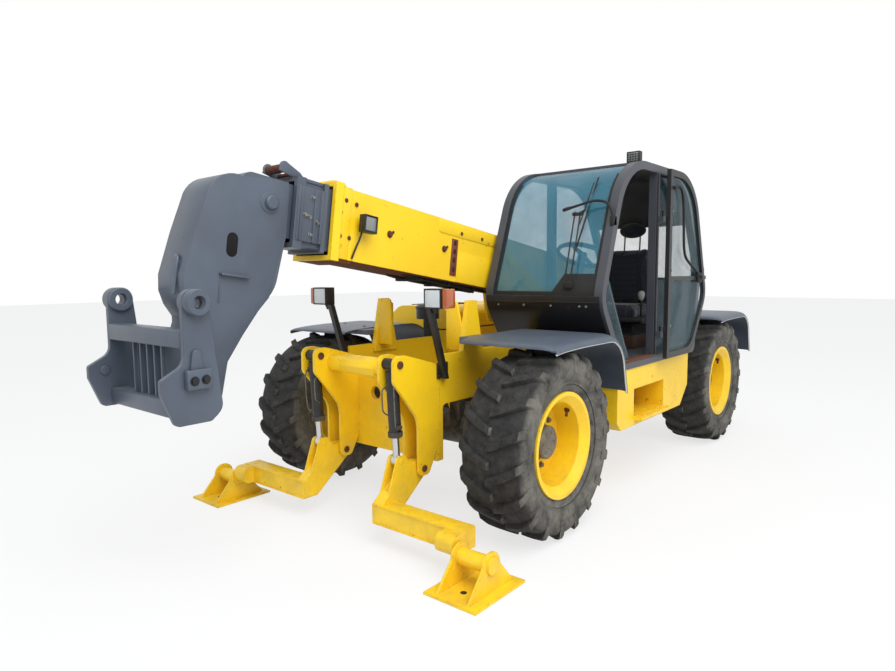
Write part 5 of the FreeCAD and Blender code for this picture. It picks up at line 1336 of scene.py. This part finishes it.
class HANDLER_OT_fenders(bpy.types.Operator):
    """Mould the four fenders with rolled edges, pale strips of painted highlight along their lips, and their bolts.
    """
    bl_idname = "handler.fenders"
    bl_label = "Fenders"

    def execute(self, context):
        rows, columns = len(FENDER_LINE), len(FENDER_ROLL)
        for axle, middle in (("front", 0), ("rear", REAR_AXLE)):
            skins, edges, screws = [], [], []
            for hand in HANDS:
                skins.append(shell(axle + "_fender_skins", rows, columns,
                                   lambda row, column: fender_place(middle, hand, row, column), 7))
                skins.append(block(axle + "_fender_skins", at(middle - 100, hand * 430, 1162),
                                   at(middle + 100, hand * 700, 1199), 5))
                # A pale tube along each fender's rolled lip: a painted highlight where the lip meets the light.
                edge = [fender_place(middle, hand, row, columns - 1) for row in range(rows)]
                edges.append(pipe(axle + "_fender_edges", edge, 5.5))
                for side in (640, 1000):
                    screws.append(bolts(axle + "_fender_screws",
                                        [at(middle + ahead, hand * side, 1208) for ahead in (-180, -60)],
                                        (0, 0, 1), 20, 6))
            skin = fit(axle + "_fender_skins", skins, "machine", "fender_plastic")
            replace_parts(skin, axle + "_fenders")
            fit(axle + "_fender_edges", edges, "machine", "fender_lip_painted_highlight")
            fit(axle + "_fender_screws", screws, "machine", "bolt")
        return {"FINISHED"}


# Upright behind the front wall, seen from ahead: to the side and up.
UPRIGHT_SHAPE = ((430, 1096), (262, 1096), (262, 1400), (272, 1426), (340, 1430), (356, 1410))


class HANDLER_OT_chassis_trim(bpy.types.Operator):
    """Trim the chassis and pod: post bolts, uprights, step teeth, hood slats and grips, intake lid."""
    bl_idname = "handler.chassis_trim"
    bl_label = "Chassis trim"

    def execute(self, context):
        heads = []
        for hand in HANDS:
            for ahead in (248, 312):
                for up in (968, 1032):
                    heads.append(bolts("post_bolts", [at(ahead, hand * 442, up)], (0, hand, 0), 20, 9))
        fit("post_bolts", heads, "machine", "black_rubber")
        uprights = []
        for hand in HANDS:
            uprights.append(plate("upright_plates", "YZ", outline([(hand * side, up) for side, up in UPRIGHT_SHAPE]),
                                  FRONT_AXLE + 0.012, FRONT_AXLE + 0.030, 2))
            uprights.append(block("upright_plates", at(-40, hand * 300, 1100), at(20, hand * 314, 1400), 3))
        fit("upright_plates", uprights, "machine", "machine_yellow")
        teeth = [block("step_teeth", at(ahead, near, 548), at(ahead + 20, near + 10, top), 2)
                 for ahead in range(-1620, -1090, 40) for near, top in ((1168, 562), (1120, 560))]
        fit("step_teeth", teeth, "machine", "machine_yellow")
        # The back plate of the step box is a darker yellow: painted shade in the recess.
        back = block("step_recess", at(-1638, 882, 552), at(-1082, 890, 758), 2)
        finish(back, "machine", "step_recess_painted_shade")
        slats = [block("hood_slats", at(ahead, -1153, 1150), at(ahead + 22, -1146, 1212), 3)
                 for ahead in range(-1960, -1500, 44)]
        slats += [block("hood_slats", at(ahead, -1000, 1326), at(ahead + 26, -640, 1334), 3)
                  for ahead in range(-1500, -1000, 60)]
        fit("hood_slats", slats, "hood", "black_rubber")
        grips = [pipe("hood_grips", [at(ahead, -1150, 1170), at(ahead, -1184, 1176), at(ahead + 60, -1186, 1176),
                                     at(ahead + 120, -1184, 1176), at(ahead + 120, -1150, 1170)], 8)
                 for ahead in (-1120, -2120)]
        fit("hood_grips", grips, "hood", "black_rubber")
        lid = ring("intake_lid", ((0.0, 0.026), (0.060, 0.024), (0.090, 0.014), (0.103, 0.0), (0.101, -0.012),
                                  (0.094, -0.010), (0.094, -0.002), (0.0, -0.002)),
                   at(-640, -492, 1335), (0, 0, 1), 40)
        finish(lid, "machine", "lamp_plastic")
        return {"FINISHED"}


# ---------------------------------------------------------------- stage

CAMERA_PLACE = (3363, 3033, 1605)
CAMERA_TURN, CAMERA_DIP, CAMERA_ROLL = 39.98, 5.60, -0.45
CAMERA_SHIFT = (0.0045, 0.002)
LAMP_PLACE, LAMP_AIM, LAMP_SIZE = (3.5, 5.0, 7.5), (0, 0, 0.8), 7.0
FLOOR_SIZE, FLOOR_DROP = 80, 0.0005


def seen_bare(tree):
    """1 where a surface is seen by the lens, in gloss or through glass, and 0 where it lights the machine."""
    path = add(tree, "LightPath")
    seen = times(tree, path.outputs["Is Camera Ray"], path.outputs["Is Glossy Ray"], "MAXIMUM")
    return times(tree, seen, path.outputs["Is Transmission Ray"], "MAXIMUM")


def backdrop_material():
    """Matt white studio floor: it shows white to the lens and in gloss, and keeps the machine's shadow."""
    material, tree, output = blank_material("matt studio floor")
    matt = add(tree, "BsdfDiffuse", {"Color": linear("#E9E9E9")})
    white = add(tree, "Emission", {"Strength": 1.0})
    mixed = add(tree, "MixShader", None,
                {0: times(tree, seen_bare(tree), 0.72), 1: matt.outputs[0], 2: white.outputs[0]})
    tree.links.new(mixed.outputs[0], output.inputs[0])
    return material


def light_world(strength):
    """A soft even sky that shows white to the lens."""
    world = bpy.data.worlds.new("studio")
    bpy.context.scene.world = world
    world.use_nodes = True
    tree = world.node_tree
    tree.nodes.clear()
    soft = add(tree, "Background", {"Color": linear("#F4F7FA"), "Strength": strength})
    white = add(tree, "Background", {"Color": (1, 1, 1, 1), "Strength": 1.0})
    mixed = add(tree, "MixShader", None, {0: seen_bare(tree), 1: soft.outputs[0], 2: white.outputs[0]})
    output = add(tree, "OutputWorld")
    tree.links.new(mixed.outputs[0], output.inputs[0])


def place_camera(lens):
    """Stand the camera ahead of the machine on its left, at eye height."""
    turn, dip, roll = math.radians(CAMERA_TURN), math.radians(CAMERA_DIP), math.radians(CAMERA_ROLL)
    look = Vector((-math.cos(turn) * math.cos(dip), -math.sin(turn) * math.cos(dip), -math.sin(dip)))
    camera = bpy.data.objects.new("camera", bpy.data.cameras.new("camera"))
    bpy.context.scene.collection.objects.link(camera)
    camera.location = at(*CAMERA_PLACE)
    camera.rotation_euler = (look.to_track_quat("-Z", "Y") @ Quaternion((0, 0, 1), roll)).to_euler()
    camera.data.lens = lens
    camera.data.sensor_width = 36
    camera.data.shift_x, camera.data.shift_y = CAMERA_SHIFT
    camera.data.clip_end = 200
    bpy.context.scene.camera = camera


class HANDLER_OT_stage(bpy.types.Operator):
    """Stand the machine on a pale studio floor, with soft lamps and the camera."""
    bl_idname = "handler.stage"
    bl_label = "Studio stage"

    def execute(self, context):
        sizes = context.scene.handler_studio
        context.scene.view_settings.view_transform = "Standard"
        bpy.ops.object.select_all(action="DESELECT")
        bpy.ops.mesh.primitive_plane_add(size=FLOOR_SIZE, location=(0, 0, -FLOOR_DROP))
        floor = start("studio_floor")
        floor.data.materials.append(backdrop_material())
        light_world(sizes.sky)
        lamp = bpy.data.objects.new("soft_lamp", bpy.data.lights.new("soft_lamp", "AREA"))
        bpy.context.scene.collection.objects.link(lamp)
        lamp.data.energy = sizes.lamp
        lamp.data.size = LAMP_SIZE
        lamp.location = LAMP_PLACE
        lamp.rotation_euler = (Vector(LAMP_AIM) - lamp.location).to_track_quat("-Z", "Y").to_euler()
        place_camera(sizes.lens)
        return {"FINISHED"}


# ---------------------------------------------------------------- panel and run

PIECE_OPERATORS = (
    HANDLER_OT_paint,
    HANDLER_OT_tyres,
    HANDLER_OT_wheel_trim,
    HANDLER_OT_seat,
    HANDLER_OT_lamps,
    HANDLER_OT_cab_front,
    HANDLER_OT_cab_side,
    HANDLER_OT_boom_trim,
    HANDLER_OT_middle_trim,
    HANDLER_OT_neck,
    HANDLER_OT_carriage_trim,
    HANDLER_OT_stabiliser_trim,
    HANDLER_OT_fenders,
    HANDLER_OT_chassis_trim,
    HANDLER_OT_stage,
)


class HANDLER_PT_panel(bpy.types.Panel):
    """The finisher's buttons."""
    bl_idname = "HANDLER_PT_panel"
    bl_label = "Telescopic handler"
    bl_space_type = "VIEW_3D"
    bl_region_type = "UI"
    bl_category = "Handler"

    def draw(self, context):
        scene = context.scene
        for group in (scene.handler_tyre, scene.handler_paint, scene.handler_studio):
            for name in group.bl_rna.properties.keys():
                if name not in ("rna_type", "name"):
                    self.layout.prop(group, name)
        for operator in PIECE_OPERATORS:
            self.layout.operator(operator.bl_idname)


def register():
    """Register the settings, the operators and the panel."""
    for item in (*GROUPS, *PIECE_OPERATORS, HANDLER_PT_panel):
        bpy.utils.register_class(item)
    bpy.types.Scene.handler_tyre = PointerProperty(type=TyreSizes)
    bpy.types.Scene.handler_paint = PointerProperty(type=PaintColours)
    bpy.types.Scene.handler_studio = PointerProperty(type=StudioSizes)


def unregister():
    """Take them away again, in the opposite order."""
    del bpy.types.Scene.handler_studio
    del bpy.types.Scene.handler_paint
    del bpy.types.Scene.handler_tyre
    for item in reversed((*GROUPS, *PIECE_OPERATORS, HANDLER_PT_panel)):
        bpy.utils.unregister_class(item)


def main():
    """Run every operator in order."""
    register()
    for operator in PIECE_OPERATORS:
        group, name = operator.bl_idname.split(".")
        getattr(getattr(bpy.ops, group), name)()


if __name__ == "__main__":
    main()
